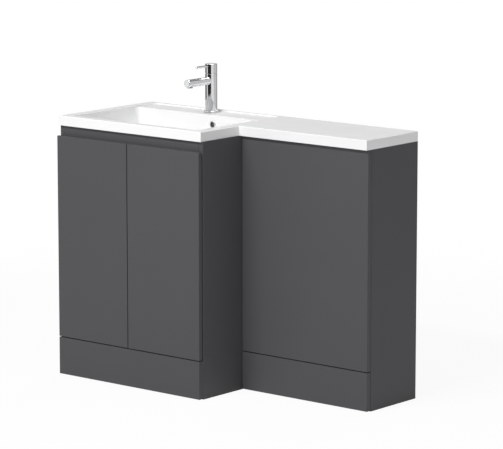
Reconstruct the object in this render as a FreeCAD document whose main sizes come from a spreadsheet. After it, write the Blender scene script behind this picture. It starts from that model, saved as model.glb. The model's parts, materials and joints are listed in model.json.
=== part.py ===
"""L-shaped combination vanity unit: a two-door vanity base and a shallow WC base under one cast basin top.

Lengths are in millimetres, +Z is up and the fronts face -Y. The origin is on the floor, in the middle of
the unit's width and of its depth from the wall to the door fronts.
"""

import FreeCAD, Part
import math
import os
import re
import Sketcher

# Driving sizes, one cell each
SIZES = {
    # carcasses
    "vanity_width": 600.0,
    "wc_width": 500.0,
    "carcass_height": 814.0,
    "board": 18.0,
    "bottom_panel_dip": 7.0,
    "rail_height": 100.0,
    "lower_rail_height": 80.0,
    "wc_bottom_rail_lift": 50.0,
    "edge_round": 1.0,
    # fronts
    "front_board": 15.0,
    "buffer_gap": 3.5,
    "front_joint": 3.0,
    "front_reveal": 1.5,
    "plinth_lift": 2.0,
    "plinth_height": 121.0,
    "recess_height": 33.0,
    "panel_top_gap": 2.0,
    "pull_lip": 11.0,
    "pull_height": 4.0,
    # shelf
    "shelf_lift": 430.0,
    "shelf_front_gap": 66.5,
    "shelf_back_gap": 50.0,
    "shelf_end_gap": 1.0,
    "shelf_pin_radius": 2.5,
    "shelf_pin_in_side": 10.0,
    "shelf_pin_reach": 8.0,
    "shelf_pin_inset": 50.0,
    # dowels, brackets, connectors and wall holes
    "fit_clearance": 0.05,
    "dowel_radius": 4.0,
    "dowel_in_side": 12.0,
    "dowel_in_end": 18.0,
    "dowel_end_gap": 0.5,
    "dowel_inset": 25.0,
    "bottom_dowel_inset": 60.0,
    "connector_radius": 4.0,
    "connector_head_radius": 7.5,
    "connector_head": 1.5,
    "connector_inset": 70.0,
    "connector_low": 220.0,
    "connector_drop": 74.0,
    "bracket_leg": 22.0,
    "bracket_sheet": 2.0,
    "bracket_width": 18.0,
    "plinth_bracket_lift": 52.0,
    "plinth_screw_inset": 70.0,
    "panel_bracket_low": 280.0,
    "panel_bracket_drop": 114.0,
    "bracket_screw_radius": 1.75,
    "bracket_screw_length": 12.0,
    "screw_head_radius": 3.6,
    "screw_head": 1.8,
    "wall_hole_radius": 3.5,
    "vanity_wall_hole_spacing": 440.0,
    "wc_wall_hole_spacing": 340.0,
    # hinges
    "hinge_inset": 95.0,
    "hinge_edge": 7.9,
    "hinge_sink": 8.3,
    "hinge_pin_radius": 1.5,
    "hinge_knuckle_radius": 2.3,
    "hinge_arm_sheet": 2.8,
    "hinge_arm_width": 8.0,
    "hinge_arm_length": 52.0,
    "hinge_side_gap": 0.3,
    "hinge_lug": 3.6,
    "cup_radius": 17.5,
    "cup_depth": 12.0,
    "cup_wall": 0.8,
    "cup_edge": 4.0,
    "cup_flange": 1.2,
    "cup_flange_width": 18.0,
    "cup_flange_height": 60.0,
    "cup_screw_inset": 24.0,
    "cup_screw_radius": 1.75,
    "cup_screw_length": 9.0,
    "plate_lift": 4.0,
    "plate_back": 58.0,
    "plate_length": 36.0,
    "plate_height": 48.0,
    "plate_screw_inset": 16.0,
    "plate_screw_radius": 2.2,
    "plate_screw_length": 12.0,
    "buffer_radius": 4.0,
    "buffer_clearance": 0.2,
    "buffer_inset": 14.0,
    "buffer_drop": 46.0,
    "buffer_rise": 11.0,
    # cast top and bowl
    "top_thickness": 31.0,
    "top_edge_round": 2.5,
    "basin_depth": 445.0,
    "basin_overhang": 8.5,
    "basin_end_gap": 2.0,
    "ledge_top_depth": 260.0,
    "wc_overhang": 29.5,
    "left_rim": 34.0,
    "right_rim": 38.0,
    "front_rim": 30.0,
    "back_rim": 12.0,
    "ledge_drop": 4.0,
    "ledge_run": 88.0,
    "bowl_drop": 106.0,
    "bowl_side_draft": 10.0,
    "bowl_front_draft": 45.0,
    "bowl_wall": 11.0,
    "bowl_corner": 18.0,
    "bowl_lip_round": 2.0,
    "floor_corner": 14.0,
    "floor_fall": 8.0,
    "top_skirt": 18.0,
    "top_skin": 15.0,
    # overflow
    "overflow_offset": 57.5,
    "overflow_drop": 31.0,
    "overflow_radius": 10.0,
    "overflow_ring_radius": 12.5,
    "overflow_ring_lip": 2.5,
    "overflow_ring_wall": 1.6,
    "overflow_seal_radius": 14.5,
    "overflow_seal": 2.0,
    "overflow_elbow_radius": 13.5,
    "overflow_elbow_run": 20.0,
    "overflow_tail_radius": 8.0,
    "overflow_tail_bore": 6.0,
    "overflow_tail_length": 34.0,
    "overflow_relief_gap": 2.0,
    # waste
    "waste_forward": 230.0,
    "waste_flange_radius": 32.0,
    "waste_flange": 3.0,
    "waste_hole_radius": 23.0,
    "waste_radius": 20.95,
    "waste_bore": 17.0,
    "waste_length": 82.0,
    "waste_spur_radius": 8.0,
    "waste_spur_bore": 6.0,
    "waste_spur_drop": 40.0,
    "waste_spur_reach": 40.0,
    "waste_groove_drop": 50.0,
    "waste_groove": 3.0,
    "waste_groove_radius": 19.8,
    "waste_seat_gap": 1.0,
    "waste_washer": 3.0,
    "waste_washer_radius": 31.0,
    "backnut_height": 10.0,
    "backnut_radius": 31.0,
    "plug_radius": 29.0,
    "plug_disc": 4.0,
    "plug_dome": 2.0,
    "plug_stem_radius": 4.0,
    "plug_stem_length": 32.0,
    "guide_drop": 16.0,
    "guide_height": 10.0,
    "guide_radius": 8.0,
    "guide_bar": 6.0,
    # tap
    "tap_offset": 7.0,
    "tap_forward": 48.0,
    "tap_hole_radius": 17.5,
    "tap_seal": 1.0,
    "tap_seal_inset": 1.3,
    "tap_ring_lip": 5.5,
    "tap_ring": 4.2,
    "tap_ring_bevel": 1.2,
    "tap_radius": 19.3,
    "tap_hole_gap": 2.0,
    "tap_spigot": 20.0,
    "cap_height": 32.0,
    "tap_seam_gap": 0.8,
    "tap_seam_bevel": 0.8,
    "tap_neck_wall": 2.6,
    "tap_neck": 8.0,
    "tap_cavity": 17.0,
    "tap_cartridge_gap": 0.1,
    "tap_cartridge_nut": 4.0,
    "tap_nut_bore": 6.0,
    "tap_stem_radius": 4.5,
    "tap_stem_gap": 0.3,
    "tap_height": 158.0,
    "cap_wall": 3.0,
    "cap_gap": 1.1,
    "cap_hollow": 15.5,
    "cap_socket": 4.0,
    "cap_bevel": 1.0,
    "spout_radius": 12.75,
    "spout_drop": 23.0,
    "spout_reach": 120.0,
    "spout_round": 2.5,
    "spout_bore": 8.0,
    "aerator_inset": 14.0,
    "aerator_radius": 9.0,
    "aerator_length": 10.0,
    "aerator_drop": 1.8,
    "aerator_lip": 1.6,
    "lever_drop": 7.3,
    "lever_radius": 3.8,
    "lever_reach": 75.0,
    "lever_pivot": 14.0,
    "lever_heel": 4.0,
    "lever_tip_round": 0.8,
    "lever_slot_gap": 0.4,
    "lever_slot_rise": 2.2,
    "lever_heel_gap": 1.4,
    "lever_heel_room": 2.4,
    "lever_axle_radius": 1.5,
    "lever_axle_length": 20.0,
    "grub_radius": 1.6,
    "inlet_radius": 4.5,
    "inlet_depth": 12.0,
    "inlet_spacing": 14.0,
    "inlet_forward": 5.0,
    "stud_radius": 3.0,
    "stud_setback": 9.0,
    "stud_in_spigot": 12.0,
    "stud_length": 62.0,
    "fixing_washer_radius": 22.0,
    "fixing_washer": 3.0,
    "fixing_mouth": 26.0,
    "fixing_mouth_setback": 3.0,
    "fixing_nut_radius": 7.5,
    "fixing_nut": 8.0,
    # shared overrun of every cut
    "overrun": 2.0,
}

# Places and sizes that follow from the driving ones
PLACES = {
    "overall_width": "vanity_width + wc_width",
    "vanity_depth": "basin_depth - basin_overhang",
    "wc_depth": "ledge_top_depth - wc_overhang",
    "front_build": "front_board + buffer_gap",
    "overall_depth": "vanity_depth + front_build",
    "door_back": "vanity_depth + buffer_gap",
    "plinth_top": "plinth_lift + plinth_height",
    "door_low": "plinth_top + front_joint",
    "door_high": "carcass_height - recess_height",
    "door_width": "(vanity_width - 2 * front_reveal - front_joint) / 2",
    "panel_high": "carcass_height - panel_top_gap",
    "bottom_panel_lift": "plinth_top - bottom_panel_dip",
    "bottom_panel_top": "bottom_panel_lift + board",
    "rail_low": "carcass_height - rail_height",
    "shelf_depth": "vanity_depth - shelf_back_gap - shelf_front_gap",
    "connector_high": "rail_low - connector_drop",
    "panel_bracket_high": "rail_low - panel_bracket_drop",
    "basin_width": "vanity_width - basin_end_gap",
    "rim_height": "carcass_height + top_thickness",
    "ledge_height": "rim_height - ledge_drop",
    "bowl_right": "basin_width - right_rim",
    "bowl_middle": "(left_rim + bowl_right) / 2",
    "bowl_back": "back_rim + ledge_run",
    "bowl_front": "basin_depth - front_rim",
    "bowl_floor": "ledge_height - bowl_drop",
    "waste_seat": "bowl_floor - floor_fall",
    "waste_under": "waste_seat - bowl_wall",
    "waste_cup_radius": "waste_flange_radius + waste_seat_gap",
    "overflow_across": "bowl_middle + overflow_offset",
    "overflow_height": "ledge_height - overflow_drop",
    "overflow_elbow_back": "bowl_back - bowl_wall - overflow_seal - overflow_elbow_run",
    "hinge_low": "door_low + hinge_inset",
    "hinge_high": "door_high - hinge_inset",
    "hinge_across": "front_reveal + hinge_edge",
    "hinge_forward": "door_back + hinge_sink",
    "cup_across": "front_reveal + cup_edge + cup_radius",
    "plate_across": "board + plate_lift",
    "tap_across": "bowl_middle + tap_offset",
    "tap_spigot_radius": "tap_hole_radius - tap_hole_gap",
    "tap_ring_radius": "tap_radius + tap_ring_lip",
    "tap_seal_radius": "tap_ring_radius - tap_seal_inset",
    "tap_seam": "tap_height - cap_height",
    "spout_height": "tap_seam - spout_drop",
    "lever_height": "tap_height - lever_drop",
    "cap_hollow_radius": "tap_radius - cap_wall",
    "tap_neck_radius": "cap_hollow_radius - cap_gap",
    "tap_cavity_radius": "tap_neck_radius - tap_neck_wall",
    "cap_low": "tap_seam + tap_seam_gap",
    "cap_ceiling": "cap_low + cap_hollow",
    "grub_height": "cap_ceiling + cap_socket / 2",
    "grub_length": "tap_radius - tap_stem_radius - fit_clearance",
    "tap_neck_top": "tap_seam + tap_neck",
}

X_TURN = FreeCAD.Rotation(FreeCAD.Vector(0, 1, 0), 90)
Y_TURN = FreeCAD.Rotation(FreeCAD.Vector(1, 0, 0), 90)
NO_TURN = FreeCAD.Rotation()
TURNS = {"x": X_TURN, "y": Y_TURN, "z": NO_TURN}
HANDS = ("left", "right")
TOUCH = 1e-6
NAME = r"[A-Za-z_][A-Za-z_0-9]*"

doc = FreeCAD.newDocument("vanity_unit")
sheet = doc.addObject("Spreadsheet::Sheet", "Sizes")
nodes = []


# Sheet and formulas


def fill_sheet():
    for row, (name, size) in enumerate(SIZES.items(), start=1):
        sheet.set(f"A{row}", name)
        sheet.set(f"B{row}", str(size))
        sheet.setAlias(f"B{row}", name)
    doc.recompute()


def spelled_out(text):
    """Writes a formula with driving sizes only."""

    def word(match):
        name = match.group(0)
        return f"({spelled_out(PLACES[name])})" if name in PLACES else name

    return re.sub(NAME, word, text)


def formula(text):
    """Writes plain size names as references to the sheet."""
    return re.sub(NAME, lambda match: f"Sizes.{match.group(0)}", spelled_out(text))


def number(text):
    """The length that a formula comes to."""
    figures = re.sub(NAME, lambda match: str(SIZES[match.group(0)]), spelled_out(text))
    return FreeCAD.Units.Quantity(figures).Value


def across(text):
    """X of a place measured from the vanity's outer left side."""
    return f"({text}) - overall_width / 2"


def forward(text):
    """Y of a place measured forward from the wall."""
    return f"overall_depth / 2 - ({text})"


def bind(thing, **formulas):
    for name, text in formulas.items():
        thing.setExpression(name, formula(text))


def place(thing, left, front, low):
    for axis, text in zip("xyz", (across(left), forward(front), low)):
        thing.setExpression(f"Placement.Base.{axis}", formula(text))


def node(thing, label):
    thing.Label = label
    nodes.append(thing)
    return thing


# Primitives and booleans


def brick(name, left, right, back, front, low, high):
    thing = doc.addObject("Part::Box", name)
    bind(thing, Length=f"({right}) - ({left})", Width=f"({front}) - ({back})", Height=f"({high}) - ({low})")
    place(thing, left, front, low)
    return thing


def rod(name, radius, length, left, front, low, along):
    """A round bar that starts at the given place and runs right, forward or up."""
    thing = doc.addObject("Part::Cylinder", name)
    thing.Placement = FreeCAD.Placement(FreeCAD.Vector(), TURNS[along])
    bind(thing, Radius=radius, Height=length)
    place(thing, left, front, low)
    return thing


def group(name, members):
    thing = doc.addObject("Part::Compound", name)
    thing.Links = members
    return thing


def fuse(name, members):
    thing = doc.addObject("Part::MultiFuse", name)
    thing.Shapes = members
    return thing


def cut(name, base, tools):
    thing = doc.addObject("Part::Cut", name)
    thing.Base = base
    thing.Tool = tools[0] if len(tools) == 1 else group(f"{name}_tools", tools)
    return thing


def screw(name, radius, length, left, front, low, along, head_first):
    """A round-headed screw whose head lies on the given place.

    Its shank runs right, forward or up from there, or the other way where head_first is false.
    """
    index = "xyz".index(along)
    shank_at = [left, front, low]
    head_at = [left, front, low]
    if head_first:
        head_at[index] = f"({head_at[index]}) - screw_head"
    else:
        shank_at[index] = f"({shank_at[index]}) - ({length})"
    shank = rod(f"{name}_shank", radius, length, *shank_at, along)
    head = rod(f"{name}_head", "screw_head_radius", "screw_head", *head_at, along)
    return fuse(name, [shank, head])


# Sketched bodies


def body(name):
    return doc.addObject("PartDesign::Body", name)


def sketch(owner, role, lift="0"):
    """A sketch on one of the body's own origin planes, moved along that plane's normal."""
    thing = owner.newObject("Sketcher::SketchObject", f"{owner.Name}_sketch")
    plane = next(feature for feature in owner.Origin.OriginFeatures if feature.Role == role)
    thing.AttachmentSupport = [(plane, "")]
    thing.MapMode = "FlatFace"
    thing.setExpression("AttachmentOffset.Base.z", formula(lift))
    return thing


def hold(thing, constraint, text):
    """Adds a sized constraint to a sketch and binds it to its formula."""
    index = thing.addConstraint(constraint)
    thing.setExpression(f"Constraints[{index}]", formula(text))


def fix_point(thing, edge, end, x, y):
    for kind, text in (("DistanceX", x), ("DistanceY", y)):
        hold(thing, Sketcher.Constraint(kind, -1, 1, edge, end, number(text)), text)


def outline(thing, points):
    """A closed outline of straight edges, each corner held at its own two formulas."""
    corners = [FreeCAD.Vector(number(x), number(y), 0) for x, y in points]
    first = thing.GeometryCount
    count = len(points)
    for index, corner in enumerate(corners):
        thing.addGeometry(Part.LineSegment(corner, corners[(index + 1) % count]))
    for index in range(count):
        following = first + (index + 1) % count
        thing.addConstraint(Sketcher.Constraint("Coincident", first + index, 2, following, 1))
    for index, (x, y) in enumerate(points):
        fix_point(thing, first + index, 1, x, y)
    return thing


def circle(thing, x, y, radius):
    middle = FreeCAD.Vector(number(x), number(y), 0)
    edge = thing.addGeometry(Part.Circle(middle, FreeCAD.Vector(0, 0, 1), number(radius)))
    fix_point(thing, edge, 3, x, y)
    hold(thing, Sketcher.Constraint("Radius", edge, number(radius)), radius)
    return thing


def pad(owner, profile, length):
    thing = owner.newObject("PartDesign::Pad", f"{owner.Name}_pad")
    thing.Profile = profile
    bind(thing, Length=length)
    doc.recompute()
    return thing


def pocket(owner, profile, length, along_normal):
    """Cuts a sketch into the body, and stops the build if nothing was cut."""
    before = owner.Shape.Volume
    thing = owner.newObject("PartDesign::Pocket", f"{owner.Name}_pocket")
    thing.Profile = profile
    thing.Reversed = along_normal
    bind(thing, Length=length)
    doc.recompute()
    if not owner.Shape.Volume < before:
        raise RuntimeError(f"{owner.Name}: a pocket cuts nothing")
    return thing


def loft(owner, kind, lower, upper):
    """Adds or cuts a ruled loft between two plans, and stops the build if it changes nothing."""
    before = owner.Shape.Volume
    thing = owner.newObject(f"PartDesign::{kind}", f"{owner.Name}_loft")
    thing.Profile = lower
    thing.Sections = [upper]
    thing.Ruled = True
    doc.recompute()
    if owner.Shape.Volume == before:
        raise RuntimeError(f"{owner.Name}: a loft changes nothing")
    return thing


def round_edges(owner, radius, chosen):
    """Fillets the edges for which chosen, given an edge's end points, says yes."""
    base = owner.Tip
    names = []
    for index, edge in enumerate(base.Shape.Edges, start=1):
        if chosen([vertex.Point for vertex in edge.Vertexes]):
            names.append(f"Edge{index}")
    thing = owner.newObject("PartDesign::Fillet", f"{owner.Name}_fillet")
    thing.Base = (base, names)
    bind(thing, Radius=radius)
    doc.recompute()
    return thing


def turned(name, profile, left, front, low, along="z"):
    """A piece turned from an outline of (radius, height) formulas about its own upright axis."""
    owner = body(name)
    section = outline(sketch(owner, "XZ_Plane"), profile)
    thing = owner.newObject("PartDesign::Revolution", f"{name}_turn")
    thing.Profile = section
    thing.ReferenceAxis = (section, ["V_Axis"])
    doc.recompute()
    owner.Placement = FreeCAD.Placement(FreeCAD.Vector(), TURNS[along])
    place(owner, left, front, low)
    return owner


def ring(name, inner, outer, thickness, left, front, low, along="z"):
    corners = [(inner, "0"), (outer, "0"), (outer, thickness), (inner, thickness)]
    return turned(name, corners, left, front, low, along)


def at(values, text):
    """True where every value lies at the formula's number."""
    goal = number(text)
    return all(abs(value - goal) < TOUCH for value in values)


# Boards of the two carcasses


def visible_board(name, left, right, back, front, low, high):
    """A board whose front edges are rounded over."""
    owner = body(name)
    corners = [(left, back), (right, back), (right, front), (left, front)]
    plan = outline(sketch(owner, "XY_Plane", low), [(across(x), forward(y)) for x, y in corners])
    pad(owner, plan, f"({high}) - ({low})")
    round_edges(owner, "edge_round", lambda ends: at([end.y for end in ends], forward(front)))
    return owner


def dowel_holes(name, seam, side_on_left, spots):
    """The round holes that run through the seam between a side and a board's end."""
    inner = "dowel_in_side" if side_on_left else "dowel_in_end"
    start = f"({seam}) - {inner} - dowel_end_gap"
    length = "dowel_in_side + dowel_in_end + 2 * dowel_end_gap"
    return [
        rod(f"{name}_hole", "dowel_radius + fit_clearance", length, start, front, up, "x")
        for front, up in spots
    ]


def dowels(name, seam, side_on_left, spots):
    inner = "dowel_in_side" if side_on_left else "dowel_in_end"
    start = f"({seam}) - {inner}"
    return [
        rod(f"{name}_dowel", "dowel_radius", "dowel_in_side + dowel_in_end", start, front, up, "x")
        for front, up in spots
    ]


def upright_spots(front, low, height):
    """Two dowel places, one above the other, in the end of a rail that stands on edge."""
    return [(front, f"{low} + dowel_inset"), (front, f"{low} + {height} - dowel_inset")]


VANITY_SPOTS = (
    [("bottom_dowel_inset", "bottom_panel_lift + board / 2")]
    + [("vanity_depth - bottom_dowel_inset", "bottom_panel_lift + board / 2")]
    + upright_spots("vanity_depth - board / 2", "rail_low", "rail_height")
    + upright_spots("board / 2", "rail_low", "rail_height")
    + upright_spots("board / 2", "bottom_panel_top", "lower_rail_height")
)
WC_SPOTS = (
    upright_spots("wc_depth - board / 2", "rail_low", "rail_height")
    + upright_spots("board / 2", "rail_low", "rail_height")
    + upright_spots("wc_depth - board / 2", "wc_bottom_rail_lift", "lower_rail_height")
)
CONNECTOR_SPOTS = [
    (front, up)
    for front in ("connector_inset", "wc_depth - connector_inset")
    for up in ("connector_low", "connector_high")
]


def connector_holes():
    return [
        rod("connector_hole", "connector_radius + fit_clearance", "2 * board + 2 * overrun",
            "vanity_width - board - overrun", front, up, "x")
        for front, up in CONNECTOR_SPOTS
    ]


def wall_holes(name, middle, spacing):
    """Two holes through a back rail for the screws into the wall."""
    return [
        rod(f"{name}_wall_hole", "wall_hole_radius", "board + 2 * overrun",
            f"{middle} {side} {spacing} / 2", "-overrun", "rail_low + rail_height / 2", "y")
        for side in "-+"
    ]


def shelf_pin_spots():
    """Forward place of each pin under the shelf."""
    back = "shelf_back_gap"
    return [f"{back} + shelf_pin_inset", f"{back} + shelf_depth - shelf_pin_inset"]


def shelf_pin_height():
    return "shelf_lift - shelf_pin_radius"


def shelf_pin_holes():
    holes = []
    for start in ("board - shelf_pin_in_side - fit_clearance", "vanity_width - board - overrun"):
        for front in shelf_pin_spots():
            length = "shelf_pin_in_side + fit_clearance + overrun"
            holes.append(rod("shelf_pin_hole", "shelf_pin_radius + fit_clearance", length, start, front,
                             shelf_pin_height(), "x"))
    return holes


def vanity_carcass():
    seams = (("board", True), ("vanity_width - board", False))
    holes = [hole for seam, left in seams for hole in dowel_holes("vanity", seam, left, VANITY_SPOTS)]
    joint_holes = group("vanity_joint_holes", holes)
    side_holes = [joint_holes] + shelf_pin_holes() + plate_pilots() + bracket_pilots("vanity")
    left = visible_board("left_side_board", "0", "board", "0", "vanity_depth", "0", "carcass_height")
    right = visible_board("right_side_board", "vanity_width - board", "vanity_width", "0", "vanity_depth",
                          "0", "carcass_height")
    node(cut("left_side_cut", left, side_holes), "vanity_left_side")
    node(cut("right_side_cut", right, side_holes + connector_holes()), "vanity_right_side")
    inner = ("board", "vanity_width - board")
    rails = {
        "vanity_bottom_panel": ("0", "vanity_depth", "bottom_panel_lift", "bottom_panel_top"),
        "vanity_front_rail": ("vanity_depth - board", "vanity_depth", "rail_low", "carcass_height"),
        "vanity_back_rail_bottom": ("0", "board", "bottom_panel_top",
                                    "bottom_panel_top + lower_rail_height"),
    }
    for label, span in rails.items():
        node(cut(f"{label}_cut", brick(f"{label}_board", *inner, *span), [joint_holes]), label)
    back = brick("vanity_back_rail_board", *inner, "0", "board", "rail_low", "carcass_height")
    drilled = [joint_holes] + wall_holes("vanity", "vanity_width / 2", "vanity_wall_hole_spacing")
    node(cut("vanity_back_rail_cut", back, drilled), "vanity_back_rail_top")
    node(group("vanity_dowel_group", [peg for seam, left in seams for peg in
                                      dowels("vanity", seam, left, VANITY_SPOTS)]), "vanity_dowels")


def wc_carcass():
    seams = (("vanity_width + board", True), ("overall_width - board", False))
    holes = [hole for seam, left in seams for hole in dowel_holes("wc", seam, left, WC_SPOTS)]
    joint_holes = group("wc_joint_holes", holes)
    pilots = bracket_pilots("wc")
    left = visible_board("wc_left_board", "vanity_width", "vanity_width + board", "0", "wc_depth", "0",
                         "carcass_height")
    right = visible_board("wc_right_board", "overall_width - board", "overall_width", "0", "wc_depth", "0",
                          "carcass_height")
    node(cut("wc_left_cut", left, [joint_holes] + pilots + connector_holes()), "wc_left_side")
    node(cut("wc_right_cut", right, [joint_holes] + pilots), "wc_right_side")
    inner = ("vanity_width + board", "overall_width - board")
    front = ("wc_depth - board", "wc_depth")
    upper = brick("wc_front_rail_board", *inner, *front, "rail_low", "carcass_height")
    node(cut("wc_front_rail_cut", upper, [joint_holes]), "wc_front_rail")
    lower = brick("wc_bottom_rail_board", *inner, *front, "wc_bottom_rail_lift",
                  "wc_bottom_rail_lift + lower_rail_height")
    node(cut("wc_bottom_rail_cut", lower, [joint_holes] + wc_plinth_holes()), "wc_bottom_rail")
    back = brick("wc_back_rail_board", *inner, "0", "board", "rail_low", "carcass_height")
    middle = "vanity_width + wc_width / 2"
    node(cut("wc_back_rail_cut", back, [joint_holes] + wall_holes("wc", middle, "wc_wall_hole_spacing")),
         "wc_back_rail")
    node(group("wc_dowel_group",
               [peg for seam, left in seams for peg in dowels("wc", seam, left, WC_SPOTS)]),
         "wc_dowels")


def unit_connectors():
    """Bolts with a flat head on each side that draw the two carcasses together."""
    bolts = []
    for front, up in CONNECTOR_SPOTS:
        shank = rod("connector_shank", "connector_radius", "2 * board", "vanity_width - board", front, up,
                    "x")
        near = rod("connector_near_head", "connector_head_radius", "connector_head",
                   "vanity_width - board - connector_head", front, up, "x")
        far = rod("connector_far_head", "connector_head_radius", "connector_head", "vanity_width + board",
                  front, up, "x")
        bolts.append(fuse("connector", [near, shank, far]))
    node(group("connector_group", bolts), "unit_connectors")


def shelf():
    node(brick("shelf_board", "board + shelf_end_gap", "vanity_width - board - shelf_end_gap",
               "shelf_back_gap",
               "shelf_back_gap + shelf_depth", "shelf_lift", "shelf_lift + board"), "vanity_shelf")
    pins = []
    for start in ("board - shelf_pin_in_side", "vanity_width - board - shelf_pin_reach"):
        for front in shelf_pin_spots():
            pins.append(rod("shelf_pin", "shelf_pin_radius", "shelf_pin_in_side + shelf_pin_reach", start,
                            front, shelf_pin_height(), "x"))
    node(group("shelf_pin_group", pins), "shelf_pins")


# Fixed fronts and their brackets


def fixed_fronts():
    fronts = {
        "vanity_plinth": ("0", "vanity_width", "vanity_depth", "plinth_lift", "plinth_top"),
        "wc_plinth": ("vanity_width", "overall_width", "wc_depth", "plinth_lift", "plinth_top"),
        "wc_front_panel": ("vanity_width", "overall_width", "wc_depth", "door_low", "panel_high"),
    }
    for label, (left, right, depth, low, high) in fronts.items():
        front = visible_board(f"{label}_board", f"{left} + front_reveal", f"{right} - front_reveal", depth,
                              f"{depth} + front_build", low, high)
        pilots = wc_plinth_holes() if label == "wc_plinth" else front_pilots(label)
        node(cut(f"{label}_cut", front, pilots), label)


def wc_plinth_spots():
    """Across and up places of the screws that hold the WC plinth to the rail behind it."""
    ends = ("vanity_width + board + plinth_screw_inset", "overall_width - board - plinth_screw_inset")
    return [(end, "wc_bottom_rail_lift + lower_rail_height / 2") for end in ends]


def wc_plinth_holes():
    return [
        rod("wc_plinth_hole", "bracket_screw_radius + fit_clearance",
            "board + bracket_screw_length + overrun",
            left, "wc_depth - board - overrun", up, "y") for left, up in wc_plinth_spots()
    ]


def wc_plinth_screws():
    return [
        screw("wc_plinth_screw", "bracket_screw_radius", "board + bracket_screw_length - overrun", left,
              "wc_depth - board", up, "y", True) for left, up in wc_plinth_spots()
    ]


def bracket_seats(unit):
    """Inner face of each side, which way its brackets point and the carcass depth that they stand behind."""
    if unit == "vanity":
        return [("board", "+"), ("vanity_width - board", "-")], "vanity_depth"
    return [("vanity_width + board", "+"), ("overall_width - board", "-")], "wc_depth"


BRACKET_LIFTS = {
    "vanity_plinth": ["plinth_bracket_lift"],
    "wc_front_panel": ["panel_bracket_low", "panel_bracket_high"],
}


def bracket_spots(unit):
    seats, depth = bracket_seats(unit)
    lifts = [lift for label, own in BRACKET_LIFTS.items() if label.split("_")[0] == unit for lift in own]
    return [(seat, way, depth, lift) for seat, way in seats for lift in lifts]


def bracket_screw_places(seat, way, depth, lift):
    """Where a bracket's two screws meet the side and the front, at the middle of its legs."""
    middle = f"{lift} + bracket_width / 2"
    return (seat, f"{depth} - bracket_leg / 2", middle), (f"{seat} {way} bracket_leg / 2", depth, middle)


def bracket_pilots(unit):
    holes = []
    for spot in bracket_spots(unit):
        seat, front, up = bracket_screw_places(*spot)[0]
        start = f"{seat} - bracket_screw_length" if spot[1] == "+" else f"{seat} - overrun"
        holes.append(rod("side_pilot", "bracket_screw_radius + fit_clearance",
                         "bracket_screw_length + overrun", start, front, up, "x"))
    return holes


def front_pilots(label):
    holes = []
    for spot in bracket_spots(label.split("_")[0]):
        if spot[3] in BRACKET_LIFTS[label]:
            left, front, up = bracket_screw_places(*spot)[1]
            holes.append(rod("front_pilot", "bracket_screw_radius + fit_clearance",
                             "bracket_screw_length + overrun", left, f"{front} - overrun", up, "y"))
    return holes


def bracket(seat, way, depth, lift):
    """A sheet-metal angle between a side's inner face and a front's back, drilled for two screws."""
    spans = {"+": (seat, f"{seat} + {{}}"), "-": (f"{seat} - {{}}", seat)}[way]
    high = f"{lift} + bracket_width"

    def leg(name, width, reach):
        left, right = (text.format(width) for text in spans)
        return brick(name, left, right, f"{depth} - {reach}", depth, lift, high)

    angle = fuse("bracket_angle", [leg("bracket_side_leg", "bracket_sheet", "bracket_leg"),
                                   leg("bracket_front_leg", "bracket_leg", "bracket_sheet")])
    side_spot, front_spot = bracket_screw_places(seat, way, depth, lift)
    radius = "bracket_screw_radius + fit_clearance"
    length = "bracket_sheet + 2 * overrun"
    start = f"{seat} - overrun" if way == "+" else f"{seat} - bracket_sheet - overrun"
    drill = [rod("bracket_side_hole", radius, length, start, side_spot[1], side_spot[2], "x"),
             rod("bracket_front_hole", radius, length, front_spot[0], f"{depth} - bracket_sheet - overrun",
                 front_spot[2], "y")]
    return cut("bracket", angle, drill)


def bracket_screws(seat, way, depth, lift):
    side_spot, front_spot = bracket_screw_places(seat, way, depth, lift)
    face = f"{seat} {way} bracket_sheet"
    length = "bracket_screw_length"
    return [
        screw("bracket_side_screw", "bracket_screw_radius", length, face, side_spot[1], side_spot[2], "x",
              way == "-"),
        screw("bracket_front_screw", "bracket_screw_radius", length, front_spot[0],
              f"{depth} - bracket_sheet", front_spot[2], "y", True),
    ]


def brackets():
    spots = bracket_spots("vanity") + bracket_spots("wc")
    node(group("bracket_group", [bracket(*spot) for spot in spots]), "front_brackets")
    screws = [part for spot in spots for part in bracket_screws(*spot)]
    node(group("front_screw_group", screws + wc_plinth_screws()), "front_screws")


# Doors and their concealed hinges


def from_hinge_side(hand, near, far):
    """Left and right ends of a span measured inwards from the vanity's left or right side."""
    if hand == "left":
        return near, far
    return f"vanity_width - ({far})", f"vanity_width - ({near})"


def hinge_heights():
    return "hinge_low", "hinge_high"


def door(hand):
    left, right = from_hinge_side(hand, "front_reveal", "front_reveal + door_width")
    owner = body(f"{hand}_door_body")
    profile = [
        ("door_back", "door_low"),
        ("overall_depth", "door_low"),
        ("overall_depth", "door_high"),
        ("overall_depth - pull_lip", "door_high"),
        ("door_back", "door_high - pull_height"),
    ]
    section = outline(sketch(owner, "YZ_Plane", across(left)), [(forward(y), z) for y, z in profile])
    pad(owner, section, "door_width")
    round_edges(owner, "edge_round", lambda ends: at([end.y for end in ends], forward("overall_depth")))
    behind = f"-({forward('door_back')})"
    cups = sketch(owner, "XZ_Plane", behind)
    pilots = sketch(owner, "XZ_Plane", behind)
    middle = from_hinge_side(hand, "cup_across", "cup_across")[0]
    for up in hinge_heights():
        circle(cups, across(middle), up, "cup_radius + fit_clearance")
        for side in "-+":
            circle(pilots, across(middle), f"{up} {side} cup_screw_inset",
                   "cup_screw_radius + fit_clearance")
    pocket(owner, cups, "cup_depth", True)
    pocket(owner, pilots, "cup_screw_length", True)
    node(owner, f"{hand}_door")


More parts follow.
